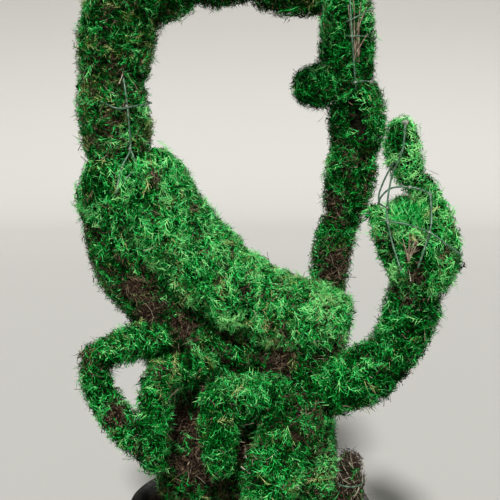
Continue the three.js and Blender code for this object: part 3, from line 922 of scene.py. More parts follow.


# Scale-leaf sprays are soft and waxy, so each tint is a plain colour with a broad, weak shine.
# They run in steps from dark to light. Which step a spray takes carries painted light and painted shade as
# well as its age: the darkest steps are painted shade, the lightest painted light on new growth.
LEAF_TINTS: tuple[Finish, ...] = (
    Finish("conifer_spray_shaded", "#012a06", 0.8, 0.04),
    Finish("conifer_spray_old_and_shaded", "#015412", 0.75, 0.06),
    Finish("conifer_spray", "#048226", 0.72, 0.08),
    Finish("conifer_spray_fresh_and_lit", "#1fb548", 0.7, 0.1),
    Finish("conifer_spray_light", "#52d070", 0.65, 0.1),
    Finish("conifer_spray_new_growth_and_lit", "#94e888", 0.65, 0.1),
    Finish("conifer_spray_olive", "#2c4714", 0.75, 0.06),
    Finish("conifer_spray_yellowed", "#758c44", 0.7, 0.08),
    Finish("conifer_spray_straw", "#a9b672", 0.7, 0.1),
)
# Which of them a yellowed spray takes in place of each green one
YELLOWED = np.array((0, 6, 6, 7, 8, 8))
# Dead sprays have lost their wax: umber while they hold their scales, straw once they are bare
DEAD_TINTS: tuple[Finish, ...] = (
    Finish("dead_spray_umber", "#2b1d17", 0.85, 0.1),
    Finish("dead_spray_brown", "#45342a", 0.85, 0.12),
    Finish("dead_spray_tan", "#7b6850", 0.8, 0.15),
)
TWIG_TINTS: tuple[Finish, ...] = (
    Finish("conifer_twig", "#3c2e26", 0.8, 0.15),
    Finish("conifer_twig_dry", "#7f705a", 0.75, 0.2),
    Finish("conifer_twig_bleached", "#bdb29c", 0.75, 0.2),
)
HEART = ShadedDeadHeart("shaded_matted_conifer_heart", "#10140a", 1.0, 0.02)
BARK = Bark("stringy_conifer_bark", "#5d4a3c", 0.85, 0.3)
PALE_BARK = Bark("bare_conifer_stem", "#8b7a66", 0.8, 0.3, pale="#b9aa94")
ROD_COAT = CoatedSteel("green_coated_steel_rod", "#26472f", 0.4, 0.5)
TIE_WIRE = BareWire("galvanised_binding_wire", "#c9cfbf", 0.45, 0.5, 0.8)
CLAY = FibreClay("anthracite_fibre_clay", "#3c3b39", 0.85, 0.35)
SOIL_FINISH = PottingSoil("peaty_potting_soil", "#2b231d", 1.0, 0.15)
PAPER = StudioFloor("pale_studio_paper", "#bdbbb6", 0.9, 0.3)


# Meshes


@dataclass
class Bundle:
    """Faces gathered up to become one piece."""

    name: str
    slot: str
    finishes: tuple[Finish, ...]
    smooth: bool = False
    corners: list[np.ndarray] = field(default_factory=list)
    faces: list[np.ndarray] = field(default_factory=list)
    finish_of: list[np.ndarray] = field(default_factory=list)
    count: int = 0

    def add(self, corners: np.ndarray, faces: np.ndarray, finish: np.ndarray | int = 0) -> None:
        """Adds a mesh.

        Args:
            corners: rows of x, y, z in millimetres.
            faces: rows of three or four corner numbers.
            finish: which finish each face has, or all of them.
        """
        self.corners.append(corners.reshape(-1, 3))
        self.faces.append(faces + self.count)
        self.finish_of.append(np.broadcast_to(finish, len(faces)))
        self.count += len(self.corners[-1])

    def triangles(self) -> int:
        """How many triangles it comes to."""
        return sum((rows.shape[1] - 2) * len(rows) for rows in self.faces)

    def piece(self, *nodes: str) -> None:
        """Makes the object, rides it on the body and lets it stand for CAD nodes.

        Args:
            nodes: the CAD nodes that it replaces.
        """
        corners = np.concatenate(self.corners).astype(np.float32) * np.float32(MM)
        mesh = bpy.data.meshes.new(self.name)
        sizes = np.concatenate([np.full(len(f), f.shape[1]) for f in self.faces])
        mesh.vertices.add(len(corners))
        mesh.vertices.foreach_set("co", corners.ravel())
        mesh.loops.add(int(sizes.sum()))
        flat = np.concatenate([f.ravel() for f in self.faces]).astype(np.int32)
        mesh.loops.foreach_set("vertex_index", flat)
        mesh.polygons.add(len(sizes))
        starts = np.concatenate(([0], np.cumsum(sizes)[:-1])).astype(np.int32)
        mesh.polygons.foreach_set("loop_start", starts)
        finish = np.concatenate(self.finish_of).astype(np.int32)
        for made in self.finishes:
            mesh.materials.append(made.material())
        mesh.polygons.foreach_set("material_index", finish)
        mesh.polygons.foreach_set("use_smooth", np.full(len(sizes), self.smooth))
        mesh.update(calc_edges=True)
        mesh.validate()
        made_piece = bpy.data.objects.new(self.name, mesh)
        bpy.context.scene.collection.objects.link(made_piece)
        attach(made_piece, "root")
        if nodes:
            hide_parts(*nodes)
        log.info("%s: %d triangles", self.name, self.triangles())


def scattered(
    shape: np.ndarray, faces: np.ndarray, roots: np.ndarray, axes: np.ndarray, sizes: np.ndarray
) -> tuple[np.ndarray, np.ndarray]:
    """Copies of one small shape.

    Args:
        shape: its corners, rows of x, y, z.
        faces: its faces.
        roots: where each copy's origin goes.
        axes: each copy's X, Y and Z directions, as three rows.
        sizes: each copy's scale along its X, Y and Z.

    Returns:
        The corners and faces of all the copies.
    """
    scaled = shape[None] * sizes[:, None]
    corners = roots[:, None] + np.einsum("nvi,nij->nvj", scaled, axes)
    numbers = faces[None] + (np.arange(len(roots)) * len(shape))[:, None, None]
    return corners.reshape(-1, 3), numbers.reshape(-1, faces.shape[1])


def frames(aim: np.ndarray, facing: np.ndarray, roll: np.ndarray) -> np.ndarray:
    """Directions for copies of a small shape.

    Args:
        aim: where each one points.
        facing: where its flat side is turned.
        roll: how far it is then rolled round its aim, in radians.

    Returns:
        Each copy's X, Y and Z directions, as three rows.
    """
    wide = unit(np.cross(aim, facing))
    thick = np.cross(aim, wide)
    turned = wide * np.cos(roll)[:, None] + thick * np.sin(roll)[:, None]
    return np.stack([turned, np.cross(aim, turned), aim], axis=1)


def closed_faces(rings: int, sides: int) -> np.ndarray:
    """Triangles that join rings of corners into one closed skin.

    Args:
        rings: how many rings there are, each numbered on from the one before.
        sides: how many corners each has. Two more, the first and the last end, follow the rings.

    Returns:
        Rows of three corner numbers.
    """
    faces = []
    for i in range(rings - 1):
        for k in range(sides):
            a, b = i * sides + k, i * sides + (k + 1) % sides
            faces += [(a, b, b + sides), (a, b + sides, a + sides)]
    first, last, top = rings * sides, rings * sides + 1, (rings - 1) * sides
    for k in range(sides):
        faces += [(first, (k + 1) % sides, k), (last, top + k, top + (k + 1) % sides)]
    return np.array(faces)


def tube(path: np.ndarray, radii: np.ndarray, sides: int) -> tuple[np.ndarray, np.ndarray]:
    """A closed round tube with flat ends.

    Args:
        path: rows of x, y, z down its middle.
        radii: its radius at each row.
        sides: how many sides it has.

    Returns:
        Corners and faces. The faces are triangles and fill both ends.
    """
    along = unit(np.gradient(path, axis=0))
    side = unit(np.cross(along[0], UP if abs(along[0][2]) < 0.9 else ACROSS))
    sections = []
    for place, direction, radius in zip(path, along, radii):
        side = unit(side - direction * (side @ direction))
        turn = np.arange(sides) * 2 * math.pi / sides
        ring = np.outer(np.cos(turn), side) + np.outer(np.sin(turn), np.cross(direction, side))
        sections.append(place + radius * ring)
    corners = np.concatenate([*sections, path[:1], path[-1:]])
    return corners, closed_faces(len(path), sides)


def smooth_path(knots: tuple[Place, ...], steps: int) -> np.ndarray:
    """A smooth line through knots, the cubic whose slope at each knot follows its two neighbours.

    Args:
        knots: the places that it passes through.
        steps: how many places each stretch gets.

    Returns:
        Rows of x, y, z.
    """
    line = np.array(knots, float)
    ring = [2 * line[0] - line[1], *line, 2 * line[-1] - line[-2]]
    rows = []
    for a, b, c, d in zip(ring, ring[1:], ring[2:], ring[3:]):
        for s in np.arange(steps) / steps:
            square = (2 * a - 5 * b + 4 * c - d) * s**2
            cube = (3 * b - a - 3 * c + d) * s**3
            rows.append(0.5 * (2 * b + (c - a) * s + square + cube))
    return np.array([*rows, line[-1]])


def lathe(profile: list[tuple[float, float]], sides: int) -> tuple[np.ndarray, np.ndarray]:
    """A solid of revolution round Z.

    Args:
        profile: pairs of radius and height, of which the first and the last lie on the axis.
        sides: how many sides it has.

    Returns:
        Corners and three-sided faces.
    """
    ring = np.array(profile[1:-1])
    turn = np.arange(sides) * 2 * math.pi / sides
    x, y = np.outer(ring[:, 0], np.cos(turn)), np.outer(ring[:, 0], np.sin(turn))
    rows = np.stack([x, y, np.repeat(ring[:, 1:], sides, axis=1)], axis=2).reshape(-1, 3)
    ends = np.array([[0, 0, profile[0][1]], [0, 0, profile[-1][1]]])
    return np.concatenate([rows, ends]), closed_faces(len(ring), sides)


# The frame's rods

# Each is a smooth line through places where it shows, its ends sunk in foliage. They follow the solids'
# rods, and run up to 30 mm beside them where the dressed limbs would hide a rod that shows, or the reverse:
# at the near claw's tip and at the left and the top of the tail's hoop.
ROD_ROUTES: dict[str, tuple[tuple[Place, ...], ...]] = {
    "near_claw_cage": (
        (
            (490, -292, 1681), (481, -315, 1603), (467, -309, 1556), (452, -284, 1510),
            (438, -287, 1405), (447, -312, 1320), (475, -362, 1215),
        ),
        ((482, -312, 1597), (447, -258, 1526), (419, -247, 1455), (416, -256, 1415)),
        (
            (455, -250, 1398), (416, -260, 1424), (447, -284, 1468), (507, -303, 1474),
            (560, -309, 1458), (580, -292, 1423), (572, -255, 1390),
        ),
        (
            (570, -304, 1462), (573, -316, 1415), (568, -346, 1352), (541, -391, 1290),
            (523, -386, 1228),
        ),
        (
            (417, -262, 1364), (440, -297, 1365), (507, -320, 1355), (562, -368, 1336),
            (613, -381, 1300), (672, -330, 1260),
        ),
        (
            (492, -282, 1680), (520, -190, 1620), (562, -180, 1480), (586, -158, 1370),
            (576, -118, 1240),
        ),
    ),
    "tail_hoop": (
        (
            (-550, -50, 1770), (-494, -108, 1746), (-438, -132, 1724), (-382, -98, 1733),
            (-344, -18, 1743), (-344, 20, 1747),
        ),
        (
            (-343, 10, 1746), (-372, 90, 1752), (-465, 134, 1762), (-560, 92, 1772),
            (-590, 10, 1776), (-548, -70, 1768),
        ),
        (
            (-432, -70, 1858), (-417, -112, 1798), (-408, -123, 1729), (-403, -116, 1650),
            (-403, -114, 1584), (-427, -142, 1531), (-442, -187, 1448),
        ),
        ((-404, -113, 1596), (-392, -122, 1568), (-360, -176, 1502)),
        ((-383, -178, 1519), (-413, -201, 1487), (-444, -185, 1443)),
    ),
    "far_claw_stay": (
        (
            (357, 158, 2154), (355, 120, 2086), (361, 104, 1981), (369, 106, 1884),
            (377, 118, 1818), (382, 146, 1794),
        ),
        ((338, 134, 2033), (356, 113, 2038), (390, 120, 2055), (441, 166, 2085)),
        ((341, 124, 1983), (361, 105, 1981), (394, 116, 1982), (418, 140, 1983)),
        ((360, 140, 1819), (376, 117, 1820), (409, 131, 1826), (456, 186, 1821)),
    ),
}


@dataclass
class Rods:
    """The green rods of the frame where they stand free of the foliage, and what ties them."""

    radius: float = 3
    sides: int = 10
    steps: int = 8  # to each stretch of a route
    knob_at: Place = (345, -146, 440)
    knob_radius: float = 50
    knob_tilt: float = 0.08
    knob_steps: int = 40
    wire_radius: float = 1.1
    wire_sides: int = 6
    wire_steps: float = 14  # to a turn
    wire_wander: float = 0.12  # how far a turn strays, over its radius
    wire_climb: float = 0.7  # how far the wire climbs to each side of the crossing, over its radius
    # Where the rods are tied: the place, the radius of the tie and how many turns it has
    ties: tuple[tuple[Place, float, float], ...] = (
        ((490, -294, 1678), 9.0, 5.0),
        ((507, -303, 1474), 6.0, 4.0),
        ((439, -287, 1406), 4.5, 2.5),
        ((441, -297, 1362), 4.5, 2.5),
        ((571, -306, 1452), 4.5, 2.5),
        ((560, -366, 1337), 4.5, 2.5),
        ((-409, -123, 1731), 5.0, 3.0),
        ((-403, -114, 1590), 4.5, 2.5),
        ((356, 113, 2038), 4.5, 2.5),
        ((361, 105, 1981), 4.5, 2.5),
        ((376, 117, 1820), 5.0, 3.0),
        ((438, 156, 1824), 5.0, 3.0),
    )

    def knob_ring(self) -> np.ndarray:
        """The closed ring that still binds the bare knob, tilted about X.

        Returns:
            Rows of x, y, z.
        """
        turn = np.linspace(0, 2 * math.pi, self.knob_steps + 1)
        ring = self.knob_radius * np.stack([np.cos(turn), np.sin(turn), 0 * turn], axis=1)
        lean = np.array([1, math.cos(self.knob_tilt), 1])
        rise = ring[:, 1] * math.sin(self.knob_tilt)
        return ring * lean + np.outer(rise, UP) + np.array(self.knob_at, float)

    def paths(self) -> dict[str, list[np.ndarray]]:
        """The middle line of each rod.

        Returns:
            The lines by the node that they belong to.
        """
        routes = ROD_ROUTES.items()
        lines = {node: [smooth_path(rod, self.steps) for rod in rods] for node, rods in routes}
        return {**lines, "knob_wire": [self.knob_ring()]}

    def all_points(self) -> np.ndarray:
        """Places every few millimetres along all the rods."""
        return np.concatenate([path for paths in self.paths().values() for path in paths])

    def binding(self, at: np.ndarray, radius: float, turns: float, seed: str) -> np.ndarray:
        """Binding wire wound round a crossing, as one loose coil.

        Args:
            at: the crossing.
            radius: the coil's.
            turns: how many it has.
            seed: the name of its random numbers.

        Returns:
            The places down its middle.
        """
        draw = dice(seed)
        turn = np.linspace(0, 2 * math.pi * turns, int(self.wire_steps * turns))
        wander = 1 + self.wire_wander * draw.standard_normal(len(turn))
        tilt = unit(draw.standard_normal(3) + 2 * UP)
        side = unit(np.cross(tilt, ACROSS))
        other = np.cross(tilt, side)
        climb = np.linspace(-1, 1, len(turn)) * radius * self.wire_climb
        reach = (radius * wander)[:, None]
        ring = np.outer(np.cos(turn), side) + np.outer(np.sin(turn), other)
        return at + reach * ring + np.outer(climb, tilt)

    def build(self) -> None:
        """Makes one piece for each node of rods, and one of the wire that ties them."""
        for node, paths in self.paths().items():
            bundle = Bundle(f"{node}_rods", "coated_rod", (ROD_COAT,), smooth=True)
            for path in paths:
                bundle.add(*tube(path, np.full(len(path), self.radius), self.sides))
            bundle.piece(node)
        ties = Bundle("binding_wire", "coated_rod", (TIE_WIRE,), smooth=True)
        for i, (at, radius, turns) in enumerate(self.ties):
            path = self.binding(np.array(at, float), radius, turns, f"binding {i}")
            ties.add(*tube(path, np.full(len(path), self.wire_radius), self.wire_sides))
        ties.piece()


# The foliage


@dataclass(frozen=True)
class Layer:
    """One kind of spray: how many there are, and their size, shape and lightness, which is painted shade for
    the deeper layer and painted light for the outer fans.
    """

    density: float  # to a square metre of clipped outline
    length: tuple[float, float]
    past: tuple[float, float]  # mean and spread of how far a tip passes the clipped outline
    # how much lighter its sprays are painted: below 0 painted shade, above 0 painted light
    lighter: float
    fingers: int
    half: float  # half the stalk's width over its length
    reach: float  # the lowest fingers' length over the stalk's
    shapes: int


# The clipped skin, the sprays under it, painted darker as painted shade, and the larger fans that lie on it,
# painted lighter as painted light
LAYERS: tuple[Layer, ...] = (
    Layer(12500, (24, 44), (-8, 5), 0.1, 4, 0.045, 0.38, 12),
    Layer(7000, (40, 66), (-20, 5), -1.3, 2, 0.06, 0.38, 6),
    Layer(1500, (44, 70), (-1, 3), 1.0, 9, 0.021, 0.52, 10),
)


@dataclass
class Foliage:
    """The boughs, twigs and sprays of one region."""

    region: Region
    limbs: list[Limb]
    others: dict[str, Limb]
    rods: np.ndarray
    twig_density: float = 600
    dead_twig_density: float = 4500
    heart_inset: float = 40
    heart_share: float = 0.4  # the most of a thin limb's girth that lies outside its heart
    heart_lumps: tuple[float, float] = (7, 38)  # how high the heart's lumps are, and how far apart
    heart_grid: tuple[int, int] = (16, 22)
    bough: float = 0.11  # a bough's radius at its foot, over the limb's first girth
    bough_steps: int = 9
    bough_sides: int = 8
    buried: float = 12  # a spray this deep in another limb isn't made
    mound: float = 6  # how far the clipped outline swells and sinks from tuft to tuft
    tuft: float = 34  # how far apart tufts are

    # The shape of a spray: the most that its stalk bends, in radians, and how far along it
    STALK_BEND = 0.7
    STALK_JOINT = 0.52
    # Its fingers: where each leaves its stretch of the stalk, at what angle, how much their length varies
    # and how much shorter they are near the tip
    FINGER_FOOT = (0.3, 0.9)
    FINGER_ANGLE = (0.4, 0.85)
    FINGER_LENGTH = (0.7, 1.3)
    FINGER_SHRINK = 0.5
    TIP_LIFT = 0.2
    SIDE_LIFT = 0.5  # the most that one side is lifted
    # The shape of a twig, over its thickness: how far its joint and its tip stray, and how thick its joint is
    TWIG_BEND = (8, 10)
    TWIG_JOINT = 0.7

    # Painted shade in creases: within CREASE of another limb the foliage is painted darker by CREASE_SHADE,
    # and holds more dead sprays by CREASE_DEAD
    CREASE = 14.0  # how near another limb the foliage is shaded and old
    CREASE_DEAD = 0.2
    CREASE_SHADE = 0.7
    RODS_NEAR = 60.0
    PRESSED = (20.0, 13.0, 1.3)  # rods press foliage down this far round, by this much, this steeply
    KNOB_SPRAYS = 0.3  # the share of sprays that the bare knob keeps
    # A spray's aim: shares of outward, along the limb and down, and of chance
    AIM = (0.55, 0.35, 0.15, 0.7)
    AIM_LEAN = (-0.15, 1.0)
    # The share of its aim that is straight outward: the least is greater the thinner the limb is there
    LEAST_OUT = (0.66, 300)
    LEAST_OUT_RANGE = (0.3, 0.55)
    MOST_OUT = 0.62
    WILT = 0.25  # how much shorter a dead spray is
    FACING = 0.3  # how far its flat side strays from facing outward
    ROLL = 0.6  # how far it is rolled, in radians
    WIDTH = (0.85, 1.15)  # over its length
    CURL = 1.2  # how far it is curled up or down, over the curl of its shape
    # How much the tone changes over TONE_SIZE, from tuft to tuft (painted light on the mounds, painted shade
    # in the hollows between them), towards the light (painted light on sprays that face up, painted shade on
    # those that face down), and by chance
    TONES = (0.45, 0.45, 0.4, 0.3)
    TONE_SIZE = 85
    BY_FINGER = 0.75  # and from finger to finger of one spray
    BROWN = (-0.6, 1.2)
    DEAD_SIZE = 60
    YELLOW = (0.3, 48)  # how much the share of yellowed sprays changes, and over how far
    # Young sprays in the near claw's cage: how many, where they rise, and how they stand
    CAGE_SPRAYS = 190
    CAGE_FLOOR: Place = (522, -258, 1340)
    CAGE_SPAN: Place = (50, 36, 10)
    CAGE_LENGTH = (55, 98)
    CAGE_SHAPE = (10, 0.022, 0.5)
    CAGE_SWAY = (0.33, 0.5)
    # CAGE_TONE, like the near claw's own tone, is painted light: these sprays stand in the cage's shade
    CAGE_TONE = (0.75, 0.75, 0.6)  # mean, spread, and how much it changes from finger to finger
    # Bare twigs: how many times as many the knob has, and how many more an old limb has
    KNOB_TWIGS = 2.4
    OLD_TWIGS = 0.35
    TWIG_BURIED = 4.0
    # The share that lies flat: on the knob, in a dead patch and elsewhere
    LYING = (0.9, 0.65, 0.25)
    PATCHY = 0.2
    # Their aim: shares of outward, along the limb and of chance, for those that lie flat and that stand
    LYING_AIM = (0.12, 0.7, 0.8)
    STANDING_AIM = (1, 0.5, 0.45)
    KNOB_FLAT = 0.9
    TWIG_LENGTH = (38, 78)
    TWIG_THICK = (1.6, 3.6)
    LYING_INSET = (4, 22)
    STANDING_INSET = (-6, 10)
    HOLLOW_INSET = 45
    TWIG_SHAPES = 4
    TWIG_FACING = 0.1
    TWIG_ROLL = (0, 6)  # in radians
    # The random numbers at which one tint of twigs gives way to the next, on the knob and elsewhere
    KNOB_DRY = (0.84, 0.89)
    TWIGS_DRY = (0.62, 0.94)
    # Tones at which one tint of sprays gives way to the next
    LIVE_STEPS = (-0.6, -0.05, 0.45, 0.95, 1.5)
    DEAD_STEPS = (0.2, 0.95)
    # Seeds of the random fields
    DEAD_FIELD = 3
    HEART_FIELD = 5
    TONE_FIELD = 7
    DEAD_EDGE = 11
    TONE_EDGE = 13
    TUFT_FIELD = 21
    YELLOW_FIELD = 31

    def slot(self) -> str:
        """The record's slot for the region's green sprays.

        Returns:
            The slot's name.
        """
        if self.region in BRIGHT_REGIONS:
            return "foliage_bright"
        return "foliage_deep" if self.region in DEEP_REGIONS else "foliage_mid"

    @classmethod
    def spray_shape(
        cls, fingers: int, half: float, reach: float, draw: np.random.Generator
    ) -> tuple[np.ndarray, np.ndarray]:
        """A flat spray 1 long: a bent stalk with narrow scaly fingers to both sides, each one face.

        Args:
            fingers: how many there are.
            half: half the stalk's width.
            reach: how long the lowest fingers are.
            draw: the generator to use.

        Returns:
            Corners and three-sided faces.
        """
        bend = draw.uniform(-cls.STALK_BEND, cls.STALK_BEND)
        first = np.array([math.sin(-bend / 2), math.cos(bend / 2)]) * cls.STALK_JOINT
        last = first + np.array([math.sin(bend / 2), math.cos(bend / 2)]) * (1 - cls.STALK_JOINT)
        wide = np.array([half, 0])
        flat = [0 * wide, first + wide, first - wide, last]
        faces = [(0, 1, 2), (2, 1, 3)]
        for i in range(fingers):
            share = (i + draw.uniform(*cls.FINGER_FOOT)) / fingers
            at = first * share / 0.5 if share < 0.5 else first + (last - first) * (share / 0.5 - 1)
            lean = (-bend if share < 0.5 else bend) / 2
            angle = lean + (1 if i % 2 else -1) * draw.uniform(*cls.FINGER_ANGLE)
            aim = np.array([math.sin(angle), math.cos(angle)])
            foot = np.array([aim[1], -aim[0]]) * half
            length = reach * (1 - cls.FINGER_SHRINK * share) * draw.uniform(*cls.FINGER_LENGTH)
            number = len(flat)
            flat += [at - foot, at + foot, at + aim * length]
            faces.append((number, number + 1, number + 2))
        rows = np.array(flat)
        sideways = draw.uniform(-cls.SIDE_LIFT, cls.SIDE_LIFT)
        lift = cls.TIP_LIFT * rows[:, 1] ** 2 + rows[:, 0] * sideways
        return np.stack([rows[:, 0], lift, rows[:, 1]], axis=1), np.array(faces)

    def twig_shape(self, draw: np.random.Generator) -> tuple[np.ndarray, np.ndarray]:
        """A bent three-sided twig 1 long and 1 across at its foot, closed, with a pointed tip.

        Args:
            draw: the generator to use.

        Returns:
            Corners and three-sided faces.
        """
        turn = np.arange(3) * 2 * math.pi / 3
        ring = np.stack([np.cos(turn), np.sin(turn), np.zeros(3)], axis=1) / 2
        # A twig is about 20 times as long as it is thick, so these bend it by up to a quarter of its length
        halfway, whole = self.TWIG_BEND
        joint = np.array([halfway * (draw.random() - 0.5), halfway * (draw.random() - 0.5), 0.5])
        tip = np.array([[whole * (draw.random() - 0.5), whole * (draw.random() - 0.5), 1.0]])
        corners = np.concatenate([ring, self.TWIG_JOINT * ring + joint, tip])
        faces = [(0, 2, 1)]
        for k in range(3):
            n = (k + 1) % 3
            faces += [(k, n, n + 3), (k, n + 3, k + 3), (k + 3, n + 3, 6)]
        return corners, np.array(faces)

    def in_others(self, limb: Limb, places: np.ndarray) -> np.ndarray:
        """How deep places lie in the limbs besides their own.

        Args:
            limb: their own limb.
            places: rows of x, y, z.

        Returns:
            One depth per row, that in the limb where it is deepest.
        """
        deepest = np.full(len(places), -FAR_OFF)
        low, high = places.min(axis=0), places.max(axis=0)
        for name, other in self.others.items():
            if name == limb.name:
                continue
            reach = 1.1 * max(other.girth) * max(other.broad, 1)
            knots = other.spine(np.linspace(0, 1, 5))
            if (knots.min(axis=0) - reach > high).any() or (knots.max(axis=0) + reach < low).any():
                continue
            deepest = np.maximum(deepest, other.depth(places))
        return deepest

    def in_hollow(self, limb: Limb, places: np.ndarray) -> np.ndarray:
        """Which places lie where the skin is broken open.

        Args:
            limb: the limb that they lie on.
            places: rows of x, y, z.

        Returns:
            True or False per row.
        """
        if limb.name not in HOLLOWS:
            return np.zeros(len(places), bool)
        centre, size = (np.array(v, float) for v in HOLLOWS[limb.name])
        return np.linalg.norm((places - centre) / size, axis=1) < 1

    def rod_gap(self, places: np.ndarray) -> np.ndarray:
        """The distance from places to the nearest rod.

        Args:
            places: rows of x, y, z.

        Returns:
            One distance per row.
        """
        gap = np.full(len(places), FAR_OFF)
        low, high = places.min(axis=0) - self.RODS_NEAR, places.max(axis=0) + self.RODS_NEAR
        near = ((self.rods > low) & (self.rods < high)).all(axis=1)
        for rod in self.rods[near]:
            gap = np.minimum(gap, np.linalg.norm(places - rod, axis=1))
        return gap

    def hearts(self) -> Bundle:
        """The matted inside of each limb, painted dark as painted shade, with a bough down its middle.

        Returns:
            The bundle of both.
        """
        bundle = Bundle(f"{self.region.value}_boughs", "dead_twigs", (HEART, BARK), smooth=True)
        rows, columns = self.heart_grid
        rise = np.linspace(-math.pi / 2, math.pi / 2, rows + 1)[1:-1]
        turn = np.arange(columns) * 2 * math.pi / columns
        grid_rise, grid_turn = np.meshgrid(rise, turn, indexing="ij")
        high, apart = self.heart_lumps
        for limb in self.limbs:
            inset = min(self.heart_inset, self.heart_share * min(limb.girth[:2]))
            place, _, outward = limb.skin(np.sin(grid_rise), grid_turn, inset)
            place, outward = place.reshape(-1, 3), outward.reshape(-1, 3)
            place = place + outward * (high * drift(place, apart, self.HEART_FIELD))[:, None]
            if limb.name in HOLLOWS:
                centre, size = (np.array(v, float) for v in HOLLOWS[limb.name])
                off = (place - centre) / size
                away = np.linalg.norm(off, axis=1, keepdims=True)
                place = np.where(away < 1, centre + off / np.maximum(away, 1e-3) * size, place)
            ends, _, _ = limb.skin(np.array([-1.0, 1.0]), np.zeros(2), inset)
            bundle.add(np.concatenate([place, ends]), closed_faces(rows - 1, columns), 0)
            thick = self.bough * limb.girth[0]
            path = limb.spine(np.linspace(0, 1, self.bough_steps))
            radii = np.linspace(thick, 0.5 * thick, self.bough_steps)
            bundle.add(*tube(path, radii, self.bough_sides), 1)
        return bundle

    def sprays(self) -> tuple[Bundle, Bundle]:
        """The sprays of all the region's limbs.

        Returns:
            The live ones and the dead ones.
        """
        live = Bundle(f"{self.region.value}_sprays", self.slot(), LEAF_TINTS)
        dead = Bundle(f"{self.region.value}_dead_sprays", "dead_twigs", DEAD_TINTS)
        for limb in self.limbs:
            self.add_sprays(limb, live, dead)
        if self.region is Region.NEAR_CLAW:
            self.add_cage_sprays(live)
        return live, dead

    def add_sprays(self, limb: Limb, live: Bundle, dead: Bundle) -> None:
        """Grows a limb's sprays, each back from a tip near the clipped outline.

        Args:
            limb: the limb.
            live: the bundle that the live ones go into.
            dead: the bundle that the dead ones go into.
        """
        draw = dice(limb.name + " sprays")
        densities = np.array([layer.density for layer in LAYERS])
        pole, turn = limb.spread(densities.sum(), draw)
        place, along, outward = limb.skin(pole, turn)
        depth = self.in_others(limb, place)
        seen = (depth < self.buried) & ~self.in_hollow(limb, place)
        if limb.region is Region.KNOB:
            seen &= draw.random(len(place)) < self.KNOB_SPRAYS
        place, along, outward = place[seen], along[seen], outward[seen]
        count = len(place)
        crease = np.clip(1 + depth[seen] / self.CREASE, 0, 1)
        share_dead = limb.dead * (1 + drift(place, self.DEAD_SIZE, self.DEAD_FIELD))
        share_dead += patchiness(place, DEAD_PATCHES, self.DEAD_EDGE)
        share_dead += self.CREASE_DEAD * crease
        is_dead = draw.random(count) < share_dead
        thickness = limb.radius(pole[seen], turn[seen], 0)
        aim = self.aims(along, outward, thickness, draw)
        kind = draw.choice(len(LAYERS), count, p=densities / densities.sum())
        low, high = (np.array([layer.length[end] for layer in LAYERS])[kind] for end in (0, 1))
        length = draw.uniform(low, high) * (1 - self.WILT * is_dead)
        mean, spread = (np.array([layer.past[end] for layer in LAYERS])[kind] for end in (0, 1))
        beyond = draw.normal(mean, spread)
        around, pressed, steep = self.PRESSED
        beyond -= pressed * np.clip(steep - self.rod_gap(place) / around, 0, 1)
        tuft = drift(place, self.tuft, self.TUFT_FIELD)
        beyond += self.mound * tuft
        root = place + outward * beyond[:, None] - aim * length[:, None]
        facing = unit(outward + self.FACING * draw.standard_normal((count, 3)))
        axes = frames(aim, facing, draw.normal(0, self.ROLL, count))
        width, curl = draw.uniform(*self.WIDTH, count), draw.uniform(-self.CURL, self.CURL, count)
        sizes = length[:, None] * np.stack([width, curl, np.ones(count)], axis=1)
        # The tone is painted light and painted shade on top of chance: the region's own, lighter on the
        # tufts' mounds and darker in their hollows, darker in creases, the patches, lighter on sprays that
        # face up, and the layer's step
        broadly, by_tuft, by_light, by_chance = self.TONES
        tone = limb.tone + broadly * drift(place, self.TONE_SIZE, self.TONE_FIELD) + by_tuft * tuft
        tone = tone - self.CREASE_SHADE * crease
        tone += patchiness(place, PAINTED_LIGHT_AND_SHADE_PATCHES, self.TONE_EDGE) + by_chance * draw.standard_normal(count)
        tone += by_light * outward[:, 2] + np.array([layer.lighter for layer in LAYERS])[kind]
        shapes, ends = [], [0]
        for layer in LAYERS:
            for _ in range(layer.shapes):
                shapes.append(self.spray_shape(layer.fingers, layer.half, layer.reach, draw))
            ends.append(len(shapes))
        which = draw.integers(np.array(ends[:-1])[kind], np.array(ends[1:])[kind])
        brown = draw.uniform(*self.BROWN, count)
        change, apart = self.YELLOW
        yellow = draw.random(count) < limb.yellow + change * drift(place, apart, self.YELLOW_FIELD)
        for number, (shape, faces) in enumerate(shapes):
            for bundle, chosen, tones in ((live, ~is_dead, tone), (dead, is_dead, brown)):
                picked = chosen & (which == number)
                if not picked.any():
                    continue
                made = scattered(shape, faces, root[picked], axes[picked], sizes[picked])
                each = np.repeat(tones[picked], len(faces))
                each = each + self.BY_FINGER * draw.standard_normal(len(each))
                if bundle is live:
                    tint = np.digitize(each, self.LIVE_STEPS)
                    tint = np.where(np.repeat(yellow[picked], len(faces)), YELLOWED[tint], tint)
                else:
                    tint = np.digitize(each, self.DEAD_STEPS)
                bundle.add(*made, tint)

    def aims(
        self, along: np.ndarray, outward: np.ndarray, thickness: np.ndarray, draw: np.random.Generator
    ) -> np.ndarray:
        """Which way sprays point: outward and on along the limb, drooping a little, each in its own way.

        Args:
            along: the directions along the limb.
            outward: the directions out of its surface.
            thickness: how far the surface is from the limb's middle line.
            draw: the generator to use.

        Returns:
            A unit direction for each spray.
        """
        out_share, along_share, droop, chance = self.AIM
        lean = draw.uniform(*self.AIM_LEAN, len(along))[:, None]
        aim = out_share * outward + along_share * lean * along - droop * UP
        aim = unit(aim + chance * draw.standard_normal(along.shape))
        thin, fall = self.LEAST_OUT
        least = np.clip(thin - thickness / fall, *self.LEAST_OUT_RANGE)
        share = (aim * outward).sum(axis=1)
        aim = unit(aim + outward * np.maximum(least - share, 0)[:, None])
        share = (aim * outward).sum(axis=1)
        return unit(aim - outward * np.maximum(share - self.MOST_OUT, 0)[:, None])

